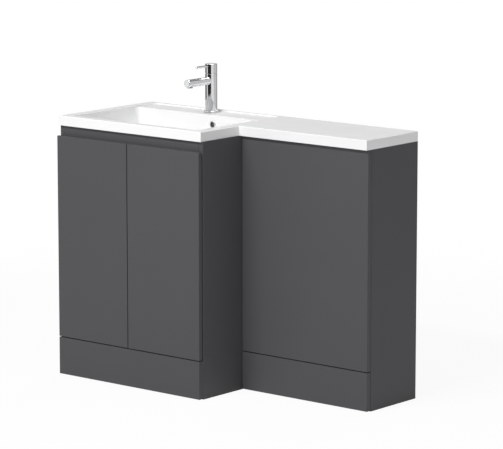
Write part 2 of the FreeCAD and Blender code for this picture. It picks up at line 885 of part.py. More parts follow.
def hinge_cup(hand, up):
    """The drilled-in cup: a shell with a screw flange and two lugs that hold the pin."""
    middle = from_hinge_side(hand, "cup_across", "cup_across")[0]
    shell = rod("cup_shell", "cup_radius", "cup_depth", middle, "door_back", up, "y")
    left, right = from_hinge_side(hand, "cup_across - cup_flange_width / 2",
                                  "cup_across + cup_flange_width / 2")
    flange = brick("cup_flange", left, right, "door_back - cup_flange", "door_back",
                   f"{up} - cup_flange_height / 2", f"{up} + cup_flange_height / 2")
    hollow = rod("cup_hollow", "cup_radius - cup_wall", "cup_depth - cup_wall + cup_flange + overrun",
                 middle, "door_back - cup_flange - overrun", up, "y")
    shell_bowl = cut("cup_bowl", fuse("cup_blank", [shell, flange]), [hollow])
    lugs = doc.addObject("Part::Common", "cup_lugs")
    lugs.Base = group("cup_lug_blocks", [hinge_lug(hand, up, side) for side in "-+"])
    lugs.Tool = shell
    drill = [
        rod("cup_pin_hole", "hinge_pin_radius + fit_clearance", "2 * cup_radius",
            from_hinge_side(hand, "hinge_across", "hinge_across")[0], "hinge_forward", f"{up} - cup_radius",
            "z")
    ]
    for side in "-+":
        drill.append(rod("cup_screw_hole", "cup_screw_radius + fit_clearance", "cup_flange + 2 * overrun",
                         middle, "door_back - cup_flange - overrun", f"{up} {side} cup_screw_inset", "y"))
    return cut("hinge_cup", fuse("cup_with_lugs", [shell_bowl, lugs]), drill)


def hinge_lug(hand, up, side):
    left, right = from_hinge_side(hand, "cup_across - cup_radius", "hinge_across + hinge_knuckle_radius")
    near = f"{up} {side} (hinge_arm_width / 2 + hinge_side_gap)"
    far = f"{near} {side} hinge_lug"
    low, high = (near, far) if side == "+" else (far, near)
    return brick("cup_lug", left, right, "hinge_forward - hinge_knuckle_radius", "door_back + cup_depth",
                 low, high)


def hinge_pin(hand, up):
    """The pin reaches from the far face of one lug to the far face of the other."""
    half = "(hinge_arm_width / 2 + hinge_side_gap + hinge_lug)"
    spot = from_hinge_side(hand, "hinge_across", "hinge_across")[0]
    return rod("hinge_pin", "hinge_pin_radius", f"2 * {half}", spot, "hinge_forward", f"{up} - {half}", "z")


def hinge_arm(hand, up):
    """A hooked arm: a knuckle round the pin, a leg across the cup and a leg along the cabinet's side."""
    low = f"{up} - hinge_arm_width / 2"
    high = f"{up} + hinge_arm_width / 2"
    spot = from_hinge_side(hand, "hinge_across", "hinge_across")[0]
    knuckle = rod("arm_knuckle", "hinge_knuckle_radius", "hinge_arm_width", spot, "hinge_forward", low, "z")
    half = "hinge_arm_sheet / 2"
    outer = "plate_across + hinge_arm_sheet"
    reach = from_hinge_side(hand, "hinge_across", outer)
    across_leg = brick("arm_cross_leg", *reach, f"hinge_forward - {half}", f"hinge_forward + {half}", low,
                       high)
    run = from_hinge_side(hand, "plate_across", outer)
    back_leg = brick("arm_back_leg", *run, "vanity_depth - hinge_arm_length", f"hinge_forward + {half}",
                     low, high)
    hole = rod("arm_pin_hole", "hinge_pin_radius + fit_clearance", "hinge_arm_width + 2 * overrun", spot,
               "hinge_forward", f"{low} - overrun", "z")
    return cut("hinge_arm", fuse("arm_blank", [knuckle, across_leg, back_leg]), [hole])


def plate_screw_spots(up):
    front = "vanity_depth - plate_back + plate_length / 2"
    return [(front, f"{up} {side} plate_screw_inset") for side in "-+"]


def plate_pilots():
    """Holes in the inner face of both sides for the screws of the hinge plates."""
    holes = []
    for up in hinge_heights():
        for front, height in plate_screw_spots(up):
            for start in ("board - plate_screw_length", "vanity_width - board - overrun"):
                holes.append(rod("plate_pilot", "plate_screw_radius + fit_clearance",
                                 "plate_screw_length + overrun", start, front, height, "x"))
    return holes


def hinge_plate(hand, up):
    span = from_hinge_side(hand, "board", "plate_across")
    back = "vanity_depth - plate_back"
    block = brick("plate_block", *span, back, f"{back} + plate_length", f"{up} - plate_height / 2",
                  f"{up} + plate_height / 2")
    start = from_hinge_side(hand, "board - overrun", "plate_across + overrun")[0]
    drill = [
        rod("plate_hole", "plate_screw_radius + fit_clearance", "plate_lift + 2 * overrun", start, front,
            height, "x") for front, height in plate_screw_spots(up)
    ]
    return cut("hinge_plate", block, drill)


def plate_screws(hand, up):
    face = from_hinge_side(hand, "plate_across", "plate_across")[0]
    return [
        screw("plate_screw", "plate_screw_radius", "plate_screw_length + plate_lift - fit_clearance", face,
              front, height, "x", hand == "right") for front, height in plate_screw_spots(up)
    ]


def cup_screws(hand, up):
    middle = from_hinge_side(hand, "cup_across", "cup_across")[0]
    return [
        screw("cup_screw", "cup_screw_radius", "cup_screw_length", middle, "door_back - cup_flange",
              f"{up} {side} cup_screw_inset", "y", True) for side in "-+"
    ]


def door_buffers(hand):
    """Soft pads at the free edge, against the front rail above and the bottom panel's edge below."""
    spot = from_hinge_side(hand, "front_reveal + door_width - buffer_inset",
                           "front_reveal + door_width - buffer_inset")[0]
    heights = ("door_high - buffer_drop", "door_low + buffer_rise")
    return [
        rod("buffer", "buffer_radius", "buffer_gap - buffer_clearance", spot,
            "vanity_depth + buffer_clearance",
            height, "y") for height in heights
    ]


def hinged_door(hand):
    door(hand)
    pieces = {"hinge_cups": hinge_cup, "hinge_pins": hinge_pin, "hinge_arms": hinge_arm,
              "hinge_plates": hinge_plate}
    for label, make in pieces.items():
        node(group(f"{hand}_{label}_group", [make(hand, up) for up in hinge_heights()]), f"{hand}_{label}")
    for label, make in {"plate_screws": plate_screws, "cup_screws": cup_screws}.items():
        members = [part for up in hinge_heights() for part in make(hand, up)]
        node(group(f"{hand}_{label}_group", members), f"{hand}_{label}")
    node(group(f"{hand}_buffer_group", door_buffers(hand)), f"{hand}_door_buffers")


# Cast top with its bowl


def rounded_plan(owner, lift, left, right, back, front, corner):
    """A level sketch of a rectangle with round corners, given from the left side and from the wall."""
    thing = sketch(owner, "XY_Plane", lift)
    west, east = across(left), across(right)
    south, north = forward(front), forward(back)
    radius = number(corner)
    low = FreeCAD.Vector(number(west), number(south), 0)
    high = FreeCAD.Vector(number(east), number(north), 0)
    inset_x = FreeCAD.Vector(radius, 0, 0)
    inset_y = FreeCAD.Vector(0, radius, 0)
    south_east = FreeCAD.Vector(high.x, low.y, 0)
    north_west = FreeCAD.Vector(low.x, high.y, 0)
    ends = [
        (low + inset_x, south_east - inset_x),
        (south_east + inset_y, high - inset_y),
        (high - inset_x, north_west + inset_x),
        (north_west - inset_y, low + inset_y),
    ]
    middles = [
        south_east - inset_x + inset_y,
        high - inset_x - inset_y,
        north_west + inset_x - inset_y,
        low + inset_x + inset_y,
    ]
    lines = [thing.addGeometry(Part.LineSegment(*pair)) for pair in ends]
    arcs = []
    for quarter, middle in enumerate(middles):
        start = math.pi / 2 * (quarter - 1)
        whole = Part.Circle(middle, FreeCAD.Vector(0, 0, 1), radius)
        arcs.append(thing.addGeometry(Part.ArcOfCircle(whole, start, start + math.pi / 2)))
    for index in range(len(lines)):
        thing.addConstraint(Sketcher.Constraint("Tangent", lines[index], 2, arcs[index], 1))
        following = lines[(index + 1) % len(lines)]
        thing.addConstraint(Sketcher.Constraint("Tangent", arcs[index], 2, following, 1))
        kind = "Vertical" if index % 2 else "Horizontal"
        thing.addConstraint(Sketcher.Constraint(kind, lines[index]))
    for arc in arcs[1:]:
        thing.addConstraint(Sketcher.Constraint("Equal", arcs[0], arc))
    held = [("DistanceX", 3, west), ("DistanceX", 1, east), ("DistanceY", 0, south),
            ("DistanceY", 2, north)]
    for kind, index, text in held:
        hold(thing, Sketcher.Constraint(kind, -1, 1, lines[index], 1, number(text)), text)
    hold(thing, Sketcher.Constraint("Radius", arcs[0], radius), corner)
    return thing


def ledge_plan(owner, grow):
    """Plan of the bowl at the tap ledge, grown by a wall."""
    return rounded_plan(owner, "ledge_height", f"left_rim - {grow}", f"bowl_right + {grow}",
                        f"bowl_back - {grow}", f"bowl_front + {grow}", f"bowl_corner + {grow}")


def floor_plan(owner, grow):
    """Plan of the bowl at its floor's edge, grown by a wall."""
    return rounded_plan(owner, f"bowl_floor - {grow}", f"left_rim + bowl_side_draft - {grow}",
                        f"bowl_right - bowl_side_draft + {grow}", f"bowl_back - {grow}",
                        f"bowl_front - bowl_front_draft + {grow}", f"bowl_corner + {grow}")


def fall_plan(owner):
    """Where the floor begins to fall to the waste, inside its rounded edge and a hair above it."""
    inset = "(bowl_side_draft + floor_corner)"
    return rounded_plan(owner, "bowl_floor + fit_clearance", f"left_rim + {inset}", f"bowl_right - {inset}",
                        "bowl_back + floor_corner", "bowl_front - bowl_front_draft - floor_corner",
                        "bowl_corner")


def waste_plan(owner, grow):
    """The low place round the waste, grown by a wall."""
    reach = f"waste_cup_radius + {grow}"
    return rounded_plan(owner, f"waste_seat - {grow}", f"bowl_middle - ({reach})", f"bowl_middle + {reach}",
                        f"waste_forward - ({reach})", f"waste_forward + {reach}", f"bowl_corner + {grow}")


def top_slab(owner):
    corners = [
        ("0", "0"),
        ("overall_width", "0"),
        ("overall_width", "ledge_top_depth"),
        ("basin_width", "ledge_top_depth"),
        ("basin_width", "basin_depth"),
        ("0", "basin_depth"),
    ]
    plan = outline(sketch(owner, "XY_Plane", "carcass_height"),
                   [(across(x), forward(y)) for x, y in corners])
    pad(owner, plan, "top_thickness")
    front_corner = (across("basin_width"), forward("ledge_top_depth"))
    inner = [number(text) for text in front_corner]

    def outer_top_edge(ends):
        on_top = at([end.z for end in ends], "rim_height")
        on_wall = at([end.y for end in ends], forward("0"))
        return on_top and not on_wall

    def outer_upright(ends):
        upright = abs(ends[0].z - ends[1].z) > TOUCH
        at_wall = at([end.y for end in ends], forward("0"))
        at_inner = abs(ends[0].x - inner[0]) < TOUCH and abs(ends[0].y - inner[1]) < TOUCH
        return upright and not at_wall and not at_inner

    round_edges(owner, "top_edge_round", lambda ends: outer_top_edge(ends) or outer_upright(ends))


def bowl(owner):
    shell_floor = floor_plan(owner, "bowl_wall")
    loft(owner, "AdditiveLoft", ledge_plan(owner, "bowl_wall"), shell_floor)
    loft(owner, "AdditiveLoft", shell_floor, waste_plan(owner, "bowl_wall"))
    recess = rounded_plan(owner, "rim_height", "left_rim", "bowl_right", "back_rim", "bowl_front",
                          "bowl_corner")
    pocket(owner, recess, "ledge_drop", False)
    loft(owner, "SubtractiveLoft", ledge_plan(owner, "0"), floor_plan(owner, "0"))
    round_edges(owner, "floor_corner", lambda ends: at([end.z for end in ends], "bowl_floor"))
    loft(owner, "SubtractiveLoft", fall_plan(owner), waste_plan(owner, "0"))
    low = [number(across("left_rim")), number(forward("bowl_front"))]
    high = [number(across("bowl_right")), number(forward("back_rim"))]

    def inner_rim(ends):
        inside = all(low[0] - TOUCH < end.x < high[0] + TOUCH and low[1] - TOUCH < end.y < high[1] + TOUCH
                     for end in ends)
        return inside and at([end.z for end in ends], "rim_height")

    round_edges(owner, "bowl_lip_round", inner_rim)


def top_holes(owner):
    waste_cup = circle(sketch(owner, "XY_Plane", "waste_seat + overrun"), across("bowl_middle"),
                       forward("waste_forward"), "waste_cup_radius")
    pocket(owner, waste_cup, "overrun + waste_flange", False)
    waste_hole = circle(sketch(owner, "XY_Plane", "waste_seat"), across("bowl_middle"),
                        forward("waste_forward"), "waste_hole_radius")
    pocket(owner, waste_hole, "bowl_wall + overrun", False)
    tap_hole = circle(sketch(owner, "XY_Plane", "ledge_height"), across("tap_across"),
                      forward("tap_forward"), "tap_hole_radius")
    pocket(owner, tap_hole, "ledge_height - carcass_height + overrun", False)
    behind = f"-({forward('bowl_back - bowl_wall - overrun')})"
    overflow = circle(sketch(owner, "XZ_Plane", behind), across("overflow_across"), "overflow_height",
                      "overflow_radius + fit_clearance")
    pocket(owner, overflow, "bowl_wall + 2 * overrun", True)
    reach = "overflow_seal_radius + overflow_relief_gap"
    relief = rounded_plan(owner, "carcass_height", f"overflow_across - ({reach})",
                          f"overflow_across + {reach}",
                          "overflow_elbow_back - overflow_relief_gap", "bowl_back - bowl_wall",
                          "overflow_relief_gap")
    pocket(owner, relief, f"overflow_height + {reach} - carcass_height", True)


def basin_top():
    """Slab with a turned-down edge, hollow under the WC end, and the bowl hanging from it."""
    owner = body("basin_top_body")
    top_slab(owner)
    bowl(owner)
    top_holes(owner)
    hollow = rounded_plan(owner, "carcass_height", "vanity_width + board + top_skirt",
                          "overall_width - board - top_skirt", "board + top_skirt",
                          "ledge_top_depth - board - top_skirt", "bowl_corner")
    pocket(owner, hollow, "top_thickness - top_skin", True)
    node(owner, "basin_top")


# Overflow and waste


def overflow():
    wall_back = "bowl_back - bowl_wall"
    spot = ("overflow_across", "overflow_height")
    bore = "overflow_radius - overflow_ring_wall"
    profile = [
        (bore, "0"),
        ("overflow_radius", "0"),
        ("overflow_radius", "bowl_wall"),
        ("overflow_ring_radius", "bowl_wall"),
        ("overflow_ring_radius", "bowl_wall + overflow_ring_lip / 2"),
        ("overflow_ring_radius - overflow_ring_lip / 2", "bowl_wall + overflow_ring_lip"),
        (bore, "bowl_wall + overflow_ring_lip"),
    ]
    node(turned("overflow_ring_body", profile, spot[0], wall_back, spot[1], "y"), "overflow_ring")
    seal_back = f"{wall_back} - overflow_seal"
    node(ring("overflow_seal_body", "overflow_radius", "overflow_seal_radius", "overflow_seal", spot[0],
              seal_back, spot[1], "y"), "overflow_seal")
    elbow_back = "overflow_elbow_back"
    shell = rod("elbow_shell", "overflow_elbow_radius", "overflow_elbow_run", spot[0], elbow_back, spot[1],
                "y")
    tail_front = f"{elbow_back} + overflow_elbow_run / 2"
    tail = rod("elbow_tail", "overflow_tail_radius", "overflow_tail_length", spot[0], tail_front,
               f"{spot[1]} - overflow_tail_length", "z")
    room = rod("elbow_room", "overflow_radius", "overflow_elbow_run - overflow_ring_wall + overrun",
               spot[0], f"{elbow_back} + overflow_ring_wall", spot[1], "y")
    tail_bore = rod("elbow_bore", "overflow_tail_bore", "overflow_tail_length + overrun", spot[0],
                    tail_front, f"{spot[1]} - overflow_tail_length - overrun", "z")
    bores = fuse("elbow_bores", [room, tail_bore])
    node(cut("elbow", fuse("elbow_solid", [shell, tail]), [bores]), "overflow_elbow")


def waste_body():
    owner = turned("waste_turning", [
        ("waste_bore", "-waste_length"),
        ("waste_radius", "-waste_length"),
        ("waste_radius", "-waste_groove_drop - waste_groove"),
        ("waste_groove_radius", "-waste_groove_drop - waste_groove"),
        ("waste_groove_radius", "-waste_groove_drop"),
        ("waste_radius", "-waste_groove_drop"),
        ("waste_radius", "-waste_flange"),
        ("waste_flange_radius", "-waste_flange"),
        ("waste_flange_radius", "0"),
        ("waste_bore", "0"),
    ], "bowl_middle", "waste_forward", "waste_seat")
    spur_up = "waste_seat - waste_spur_drop"
    reach = "waste_forward - waste_spur_reach"
    spur = rod("waste_spur", "waste_spur_radius", "waste_spur_reach", "bowl_middle", reach, spur_up, "y")
    room = rod("waste_room", "waste_bore", "waste_length + 2 * overrun", "bowl_middle", "waste_forward",
               "waste_seat - waste_length - overrun", "z")
    spur_bore = rod("waste_spur_bore", "waste_spur_bore", "waste_spur_reach + overrun", "bowl_middle",
                    f"{reach} - overrun", spur_up, "y")
    bores = fuse("waste_bores", [room, spur_bore])
    node(cut("waste", fuse("waste_solid", [owner, spur]), [bores]), "waste_body")


def waste_fixings():
    low = "waste_under - waste_washer"
    node(ring("waste_washer_body", "waste_radius + fit_clearance", "waste_washer_radius", "waste_washer",
              "bowl_middle", "waste_forward", low), "waste_washer")
    hexagon = doc.addObject("Part::Prism", "backnut_hexagon")
    hexagon.Polygon = 6
    bind(hexagon, Circumradius="backnut_radius", Height="backnut_height")
    place(hexagon, "bowl_middle", "waste_forward", f"{low} - backnut_height")
    thread = rod("backnut_thread", "waste_radius + fit_clearance", "backnut_height + 2 * overrun",
                 "bowl_middle", "waste_forward", f"{low} - backnut_height - overrun", "z")
    node(cut("backnut", hexagon, [thread]), "waste_backnut")


def waste_plug():
    profile = [
        ("0", "-plug_stem_length"),
        ("plug_stem_radius", "-plug_stem_length"),
        ("plug_stem_radius", "0"),
        ("plug_radius", "0"),
        ("plug_radius", "plug_disc - plug_dome"),
        ("plug_radius - plug_disc", "plug_disc"),
        ("0", "plug_disc"),
    ]
    node(turned("waste_plug_body", profile, "bowl_middle", "waste_forward", "waste_seat"), "waste_plug")
    low = "waste_seat - guide_drop - guide_height"
    hub = rod("guide_hub", "guide_radius", "guide_height", "bowl_middle", "waste_forward", low, "z")
    half = "waste_bore - fit_clearance"
    bar = brick("guide_bar", f"bowl_middle - ({half})", f"bowl_middle + {half}",
                "waste_forward - guide_bar / 2",
                "waste_forward + guide_bar / 2", low, f"{low} + guide_height")
    room = rod("guide_room", "waste_bore - fit_clearance", "guide_height", "bowl_middle", "waste_forward",
               low, "z")
    trimmed = doc.addObject("Part::Common", "guide_trimmed")
    trimmed.Base = fuse("guide_solid", [hub, bar])
    trimmed.Tool = room
    bore = rod("guide_bore", "plug_stem_radius + fit_clearance", "guide_height + 2 * overrun",
               "bowl_middle", "waste_forward", f"{low} - overrun", "z")
    node(cut("guide", trimmed, [bore]), "waste_plug_guide")


# Tap


def tap_height(text):
    """Height of a tap place measured up from the tap ledge."""
    return f"ledge_height + {text}"


def tap_base():
    spigot = "tap_spigot_radius + fit_clearance"
    node(ring("tap_seal_body", spigot, "tap_seal_radius", "tap_seal", "tap_across", "tap_forward",
              "ledge_height"),
         "tap_base_seal")
    profile = [
        (spigot, "0"),
        ("tap_ring_radius", "0"),
        ("tap_ring_radius", "tap_ring - tap_ring_bevel"),
        ("tap_ring_radius - tap_ring_bevel", "tap_ring"),
        (spigot, "tap_ring"),
    ]
    node(turned("tap_ring_body", profile, "tap_across", "tap_forward", tap_height("tap_seal")),
         "tap_base_ring")


def tap_body():
    """Column and spout are one casting, bored for the water and for the cartridge."""
    foot = "tap_seal + tap_ring"
    owner = turned("tap_casting", [
        ("0", "-tap_spigot"),
        ("tap_spigot_radius", "-tap_spigot"),
        ("tap_spigot_radius", foot),
        ("tap_radius", foot),
        ("tap_radius", "tap_seam - tap_seam_bevel"),
        ("tap_radius - tap_seam_bevel", "tap_seam"),
        ("tap_neck_radius", "tap_seam"),
        ("tap_neck_radius", "tap_neck_top"),
        ("tap_cavity_radius", "tap_neck_top"),
        ("tap_cavity_radius", "tap_neck_top - tap_cavity"),
        ("0", "tap_neck_top - tap_cavity"),
    ], "tap_across", "tap_forward", "ledge_height")
    spout = circle(sketch(owner, "XZ_Plane"), "0", "spout_height", "spout_radius")
    pad(owner, spout, "spout_reach")
    tip = "-spout_reach"
    round_edges(owner, "spout_round", lambda ends: at([end.y for end in ends], tip))
    bore = circle(sketch(owner, "XZ_Plane"), "0", "spout_height", "spout_bore")
    pocket(owner, bore, "spout_reach - aerator_inset", True)
    outlet = circle(sketch(owner, "XY_Plane", "spout_height"), "0", "aerator_inset - spout_reach",
                    "aerator_radius + fit_clearance")
    pocket(owner, outlet, "spout_radius + overrun", False)
    ports = sketch(owner, "XY_Plane", "-tap_spigot")
    for side in "-+":
        circle(ports, f"0 {side} inlet_spacing / 2", "-inlet_forward", "inlet_radius")
    pocket(owner, ports, "inlet_depth", True)
    stud = circle(sketch(owner, "XY_Plane", "-tap_spigot"), "0", "stud_setback",
                  "stud_radius + fit_clearance")
    pocket(owner, stud, "stud_in_spigot", True)
    node(owner, "tap_body")


def tap_aerator():
    mouth = "aerator_radius - aerator_lip"
    profile = [
        ("0", "aerator_lip"),
        (mouth, "aerator_lip"),
        (mouth, "0"),
        ("aerator_radius", "0"),
        ("aerator_radius", "aerator_length"),
        ("0", "aerator_length"),
    ]
    node(turned("aerator_body", profile, "tap_across", "tap_forward + spout_reach - aerator_inset",
                tap_height("spout_height - spout_radius - aerator_drop")), "tap_aerator")


def tap_cartridge():
    spot = ("tap_across", "tap_forward")
    floor = tap_height("tap_neck_top - tap_cavity")
    node(rod("cartridge", "tap_cavity_radius - tap_cartridge_gap", "tap_cavity", *spot, floor, "z"),
         "tap_cartridge")
    top = tap_height("tap_neck_top")
    node(ring("cartridge_nut_body", "tap_nut_bore", "tap_neck_radius", "tap_cartridge_nut", *spot, top),
         "tap_cartridge_nut")
    stem_low = f"{top} + tap_stem_gap"
    stem_length = "cap_ceiling + cap_socket - tap_neck_top - tap_stem_gap"
    node(rod("cartridge_stem", "tap_stem_radius", stem_length, *spot, stem_low, "z"), "tap_cartridge_stem")


def tap_handle_cap():
    """Cap over the cartridge, slotted at the front for the pin lever and cross-bored for its axle."""
    socket = "tap_stem_radius + fit_clearance"
    owner = turned("tap_cap_body", [
        ("cap_hollow_radius", "cap_low"),
        ("tap_radius - tap_seam_bevel", "cap_low"),
        ("tap_radius", "cap_low + tap_seam_bevel"),
        ("tap_radius", "tap_height - cap_bevel"),
        ("tap_radius - cap_bevel", "tap_height"),
        ("0", "tap_height"),
        ("0", "cap_ceiling + cap_socket"),
        (socket, "cap_ceiling + cap_socket"),
        (socket, "cap_ceiling"),
        ("cap_hollow_radius", "cap_ceiling"),
    ], "tap_across", "tap_forward", "ledge_height")
    half = "(lever_radius + lever_slot_gap)"
    low = "lever_height - lever_radius - lever_slot_gap"
    high = "lever_height + lever_radius + lever_slot_rise"
    back = "lever_pivot - lever_heel - lever_heel_gap"
    slot_corners = [(f"-{half}", low), (half, low), (half, high), (f"-{half}", high)]
    slot = outline(sketch(owner, "XZ_Plane", back), slot_corners)
    pocket(owner, slot, "tap_radius", True)
    heel_low = f"{low} - lever_heel_room"
    room_corners = [(f"-{half}", heel_low), (half, heel_low), (half, low), (f"-{half}", low)]
    room = outline(sketch(owner, "XZ_Plane", back), room_corners)
    pocket(owner, room, "lever_heel + lever_heel_gap", True)
    axle = circle(sketch(owner, "YZ_Plane", "-lever_axle_length / 2"), "-lever_pivot", "lever_height",
                  "lever_axle_radius + fit_clearance")
    pocket(owner, axle, "lever_axle_length", True)
    grub = circle(sketch(owner, "XZ_Plane", "-tap_radius"), "0", "grub_height",
                  "grub_radius + fit_clearance")
    pocket(owner, grub, "grub_length", True)
    node(owner, "tap_handle_cap")


def tap_lever():
    """The pin lever, with its tip rounded and a cross hole for its axle."""
    owner = body("tap_lever_body")
    shaft = circle(sketch(owner, "XZ_Plane", "lever_pivot - lever_heel"), "0", "lever_height",
                   "lever_radius")
    pad(owner, shaft, "lever_reach - lever_pivot + lever_heel")
    round_edges(owner, "lever_tip_round", lambda ends: at([end.y for end in ends], "-lever_reach"))
    hole = circle(sketch(owner, "YZ_Plane", "-lever_radius - overrun"), "-lever_pivot", "lever_height",
                  "lever_axle_radius + fit_clearance")
    pocket(owner, hole, "2 * lever_radius + 2 * overrun", True)
    place(owner, "tap_across", "tap_forward", "ledge_height")
    node(owner, "tap_lever")
    axle_left = "tap_across - lever_axle_length / 2"
    node(rod("lever_axle", "lever_axle_radius", "lever_axle_length", axle_left, "tap_forward + lever_pivot",
             tap_height("lever_height"), "x"), "tap_lever_axle")
    node(rod("grub_screw", "grub_radius", "grub_length", "tap_across", "tap_forward - tap_radius",
             tap_height("grub_height"), "y"), "tap_grub_screw")


def tap_fixings():
    """Stud, horseshoe washer and nut that clamp the tap to the ledge from below."""
    spot = ("tap_across", "tap_forward")
    stud_spot = ("tap_across", "tap_forward - stud_setback")
    stud_low = tap_height("stud_in_spigot - tap_spigot - stud_length")
    node(rod("fixing_stud", "stud_radius", "stud_length", *stud_spot, stud_low, "z"), "tap_fixing_stud")
    low = "carcass_height - fixing_washer"
    disc = rod("washer_disc", "fixing_washer_radius", "fixing_washer", *spot, low, "z")
    mouth = brick("washer_mouth", "tap_across - fixing_mouth / 2", "tap_across + fixing_mouth / 2",
                  "tap_forward - fixing_mouth_setback", "tap_forward + fixing_washer_radius + overrun",
                  f"{low} - overrun", "carcass_height + overrun")
    hole = rod("washer_hole", "stud_radius + fit_clearance", "fixing_washer + 2 * overrun", *stud_spot,
               f"{low} - overrun", "z")
    node(cut("horseshoe", disc, [mouth, hole]), "tap_fixing_washer")
    nut_low = f"{low} - fixing_nut"
    hexagon = doc.addObject("Part::Prism", "fixing_hexagon")
    hexagon.Polygon = 6
    bind(hexagon, Circumradius="fixing_nut_radius", Height="fixing_nut")
    place(hexagon, *stud_spot, nut_low)
    thread = rod("fixing_thread", "stud_radius + fit_clearance", "fixing_nut + 2 * overrun", *stud_spot,
                 f"{nut_low} - overrun", "z")
    node(cut("fixing_nut", hexagon, [thread]), "tap_fixing_nut")


# Build, check and write


def check_model():
    doc.recompute()
    failed = [thing.Name for thing in doc.Objects if "Invalid" in thing.State or "Error" in thing.State]
    if failed:
        raise RuntimeError(f"failed objects: {failed}")
    for thing in nodes:
        if thing.Shape.isNull() or not thing.Shape.isValid() or not thing.Shape.Solids:
            raise RuntimeError(f"{thing.Label} has no sound solid")


def write_nodes():
    os.makedirs("parts", exist_ok=True)
    for thing in nodes:
        thing.Shape.exportStep(f"parts/{thing.Label}.step")
        print(f"{thing.Label}: {len(thing.Shape.Solids)} solids, {thing.Shape.Volume:.0f} mm3")


def main():
    fill_sheet()
    vanity_carcass()
    wc_carcass()
    unit_connectors()
    shelf()
    fixed_fronts()
    brackets()
    for hand in HANDS:
        hinged_door(hand)
    basin_top()
    overflow()
    waste_body()
    waste_fixings()
    waste_plug()
    tap_base()
    tap_body()
    tap_aerator()
    tap_cartridge()
    tap_handle_cap()
    tap_lever()
    tap_fixings()
    check_model()
    write_nodes()


main()
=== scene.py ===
"""Studio scene of the L-shaped vanity unit: its finishes, small fittings, lamps and camera."""
import json
import math

import bmesh
import bpy
from mathutils import Matrix, Vector

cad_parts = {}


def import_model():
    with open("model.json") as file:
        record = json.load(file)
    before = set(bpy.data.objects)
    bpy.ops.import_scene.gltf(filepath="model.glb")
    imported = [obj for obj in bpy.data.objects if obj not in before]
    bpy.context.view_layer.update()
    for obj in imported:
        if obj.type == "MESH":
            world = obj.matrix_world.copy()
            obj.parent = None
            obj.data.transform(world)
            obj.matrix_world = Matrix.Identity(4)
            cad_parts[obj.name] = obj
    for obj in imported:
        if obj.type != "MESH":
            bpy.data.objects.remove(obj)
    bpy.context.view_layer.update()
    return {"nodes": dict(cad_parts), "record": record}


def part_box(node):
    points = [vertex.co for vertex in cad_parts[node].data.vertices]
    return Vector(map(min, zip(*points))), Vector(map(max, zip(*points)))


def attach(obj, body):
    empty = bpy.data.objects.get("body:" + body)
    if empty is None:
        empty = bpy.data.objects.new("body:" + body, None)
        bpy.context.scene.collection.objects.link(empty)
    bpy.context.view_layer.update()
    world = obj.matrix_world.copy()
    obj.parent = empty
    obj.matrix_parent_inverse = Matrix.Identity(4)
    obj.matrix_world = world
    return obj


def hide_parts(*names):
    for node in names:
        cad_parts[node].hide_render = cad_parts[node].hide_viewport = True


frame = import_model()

NODES = frame["nodes"]
SLOT_OF = {part["node"]: part["material_slot"] for part in frame["record"]["subparts"]}

# Colours of the finishes, linear
BOARD_GREY = (0.0838, 0.0838, 0.0878)
BOARD_EDGE_LINE = (0.05, 0.05, 0.053)
# Lighter colour of a board's arrises: partly wear, partly a painted highlight along the edge
BOARD_ARRIS_WEAR_AND_HIGHLIGHT = (0.1, 0.1, 0.104)
GEL_WHITE = (0.875, 0.875, 0.872)
GEL_WHITE_COOL = (0.86, 0.864, 0.868)
CHROME = (0.78, 0.785, 0.795)
ZINC = (0.56, 0.57, 0.59)
NICKEL = (0.5, 0.49, 0.47)
BRASS = (0.62, 0.45, 0.2)
RUBBER = (0.016, 0.016, 0.017)
BUFFER = (0.62, 0.62, 0.6)
GREY_PLASTIC = (0.3, 0.31, 0.32)
WHITE_PLASTIC = (0.68, 0.68, 0.66)
BEECH = (0.5, 0.35, 0.21)

# How far a finish drifts from its colour, as shares of the colour
BOARD_CLOUD_SHARE = 0.965
CHROME_SMUDGE_SHARE = 0.96
METAL_LINE_SHARE = 0.82
MOULDED_CLOUD_SHARE = 1.25
BEECH_LINE_SHARE = 0.7

# How strongly a board's edge lines and its lighter arrises show; the arrises' lightening is partly wear and
# partly a painted highlight
EDGE_LINE_SHARE = 0.5
ARRIS_WEAR_AND_HIGHLIGHT_SHARE = 0.35

# Highlights of the finishes that aren't metal
BOARD_SPECULAR = 0.12
GEL_SPECULAR = 0.5
MOULDED_SPECULAR = 0.4
BEECH_SPECULAR = 0.3

# Values for the shared effects, by the names of their sockets
BOARD_MOTTLE = {"Cloud Scale": 2.2, "Speckle Scale": 1400.0, "Speckle": 0.9}
BOARD_BAND = {"Arris": 0.001, "Band": 0.0012, "Line": 0.0003}
BOARD_GLOSS = {"Roughness": 0.52, "Spread": 0.12, "Scale": 7.0}
BOARD_RELIEF = {"Scale": 1800.0, "Depth": 0.00006, "Strength": 0.25}
GEL_MOTTLE = {"Cloud Scale": 3.0, "Speckle Scale": 260.0, "Speckle": 0.25}
GEL_GLOSS = {"Roughness": 0.24, "Spread": 0.1, "Scale": 9.0}
GEL_RELIEF = {"Scale": 140.0, "Depth": 0.0001, "Strength": 0.12}
CHROME_MOTTLE = {"Cloud Scale": 45.0, "Speckle Scale": 600.0, "Speckle": 0.2}
CHROME_GLOSS = {"Roughness": 0.07, "Spread": 0.06, "Scale": 60.0}
METAL_GRAIN = {"Depth": 0.00005, "Strength": 0.25}
METAL_GLOSS = {"Spread": 0.15, "Scale": 80.0}
MOULDED_MOTTLE = {"Cloud Scale": 90.0, "Speckle Scale": 1500.0, "Speckle": 0.5}
MOULDED_GLOSS = {"Spread": 0.15, "Scale": 120.0}
MOULDED_RELIEF = {"Depth": 0.0002, "Strength": 0.2}
BEECH_GRAIN = {"Stretch": (40.0, 1600.0, 1600.0), "Depth": 0.00005, "Strength": 0.4}
BEECH_GLOSS = {"Roughness": 0.6, "Spread": 0.05, "Scale": 50.0}
NOISE_MIDDLE = 0.5
CLOUD_LOW = 0.3
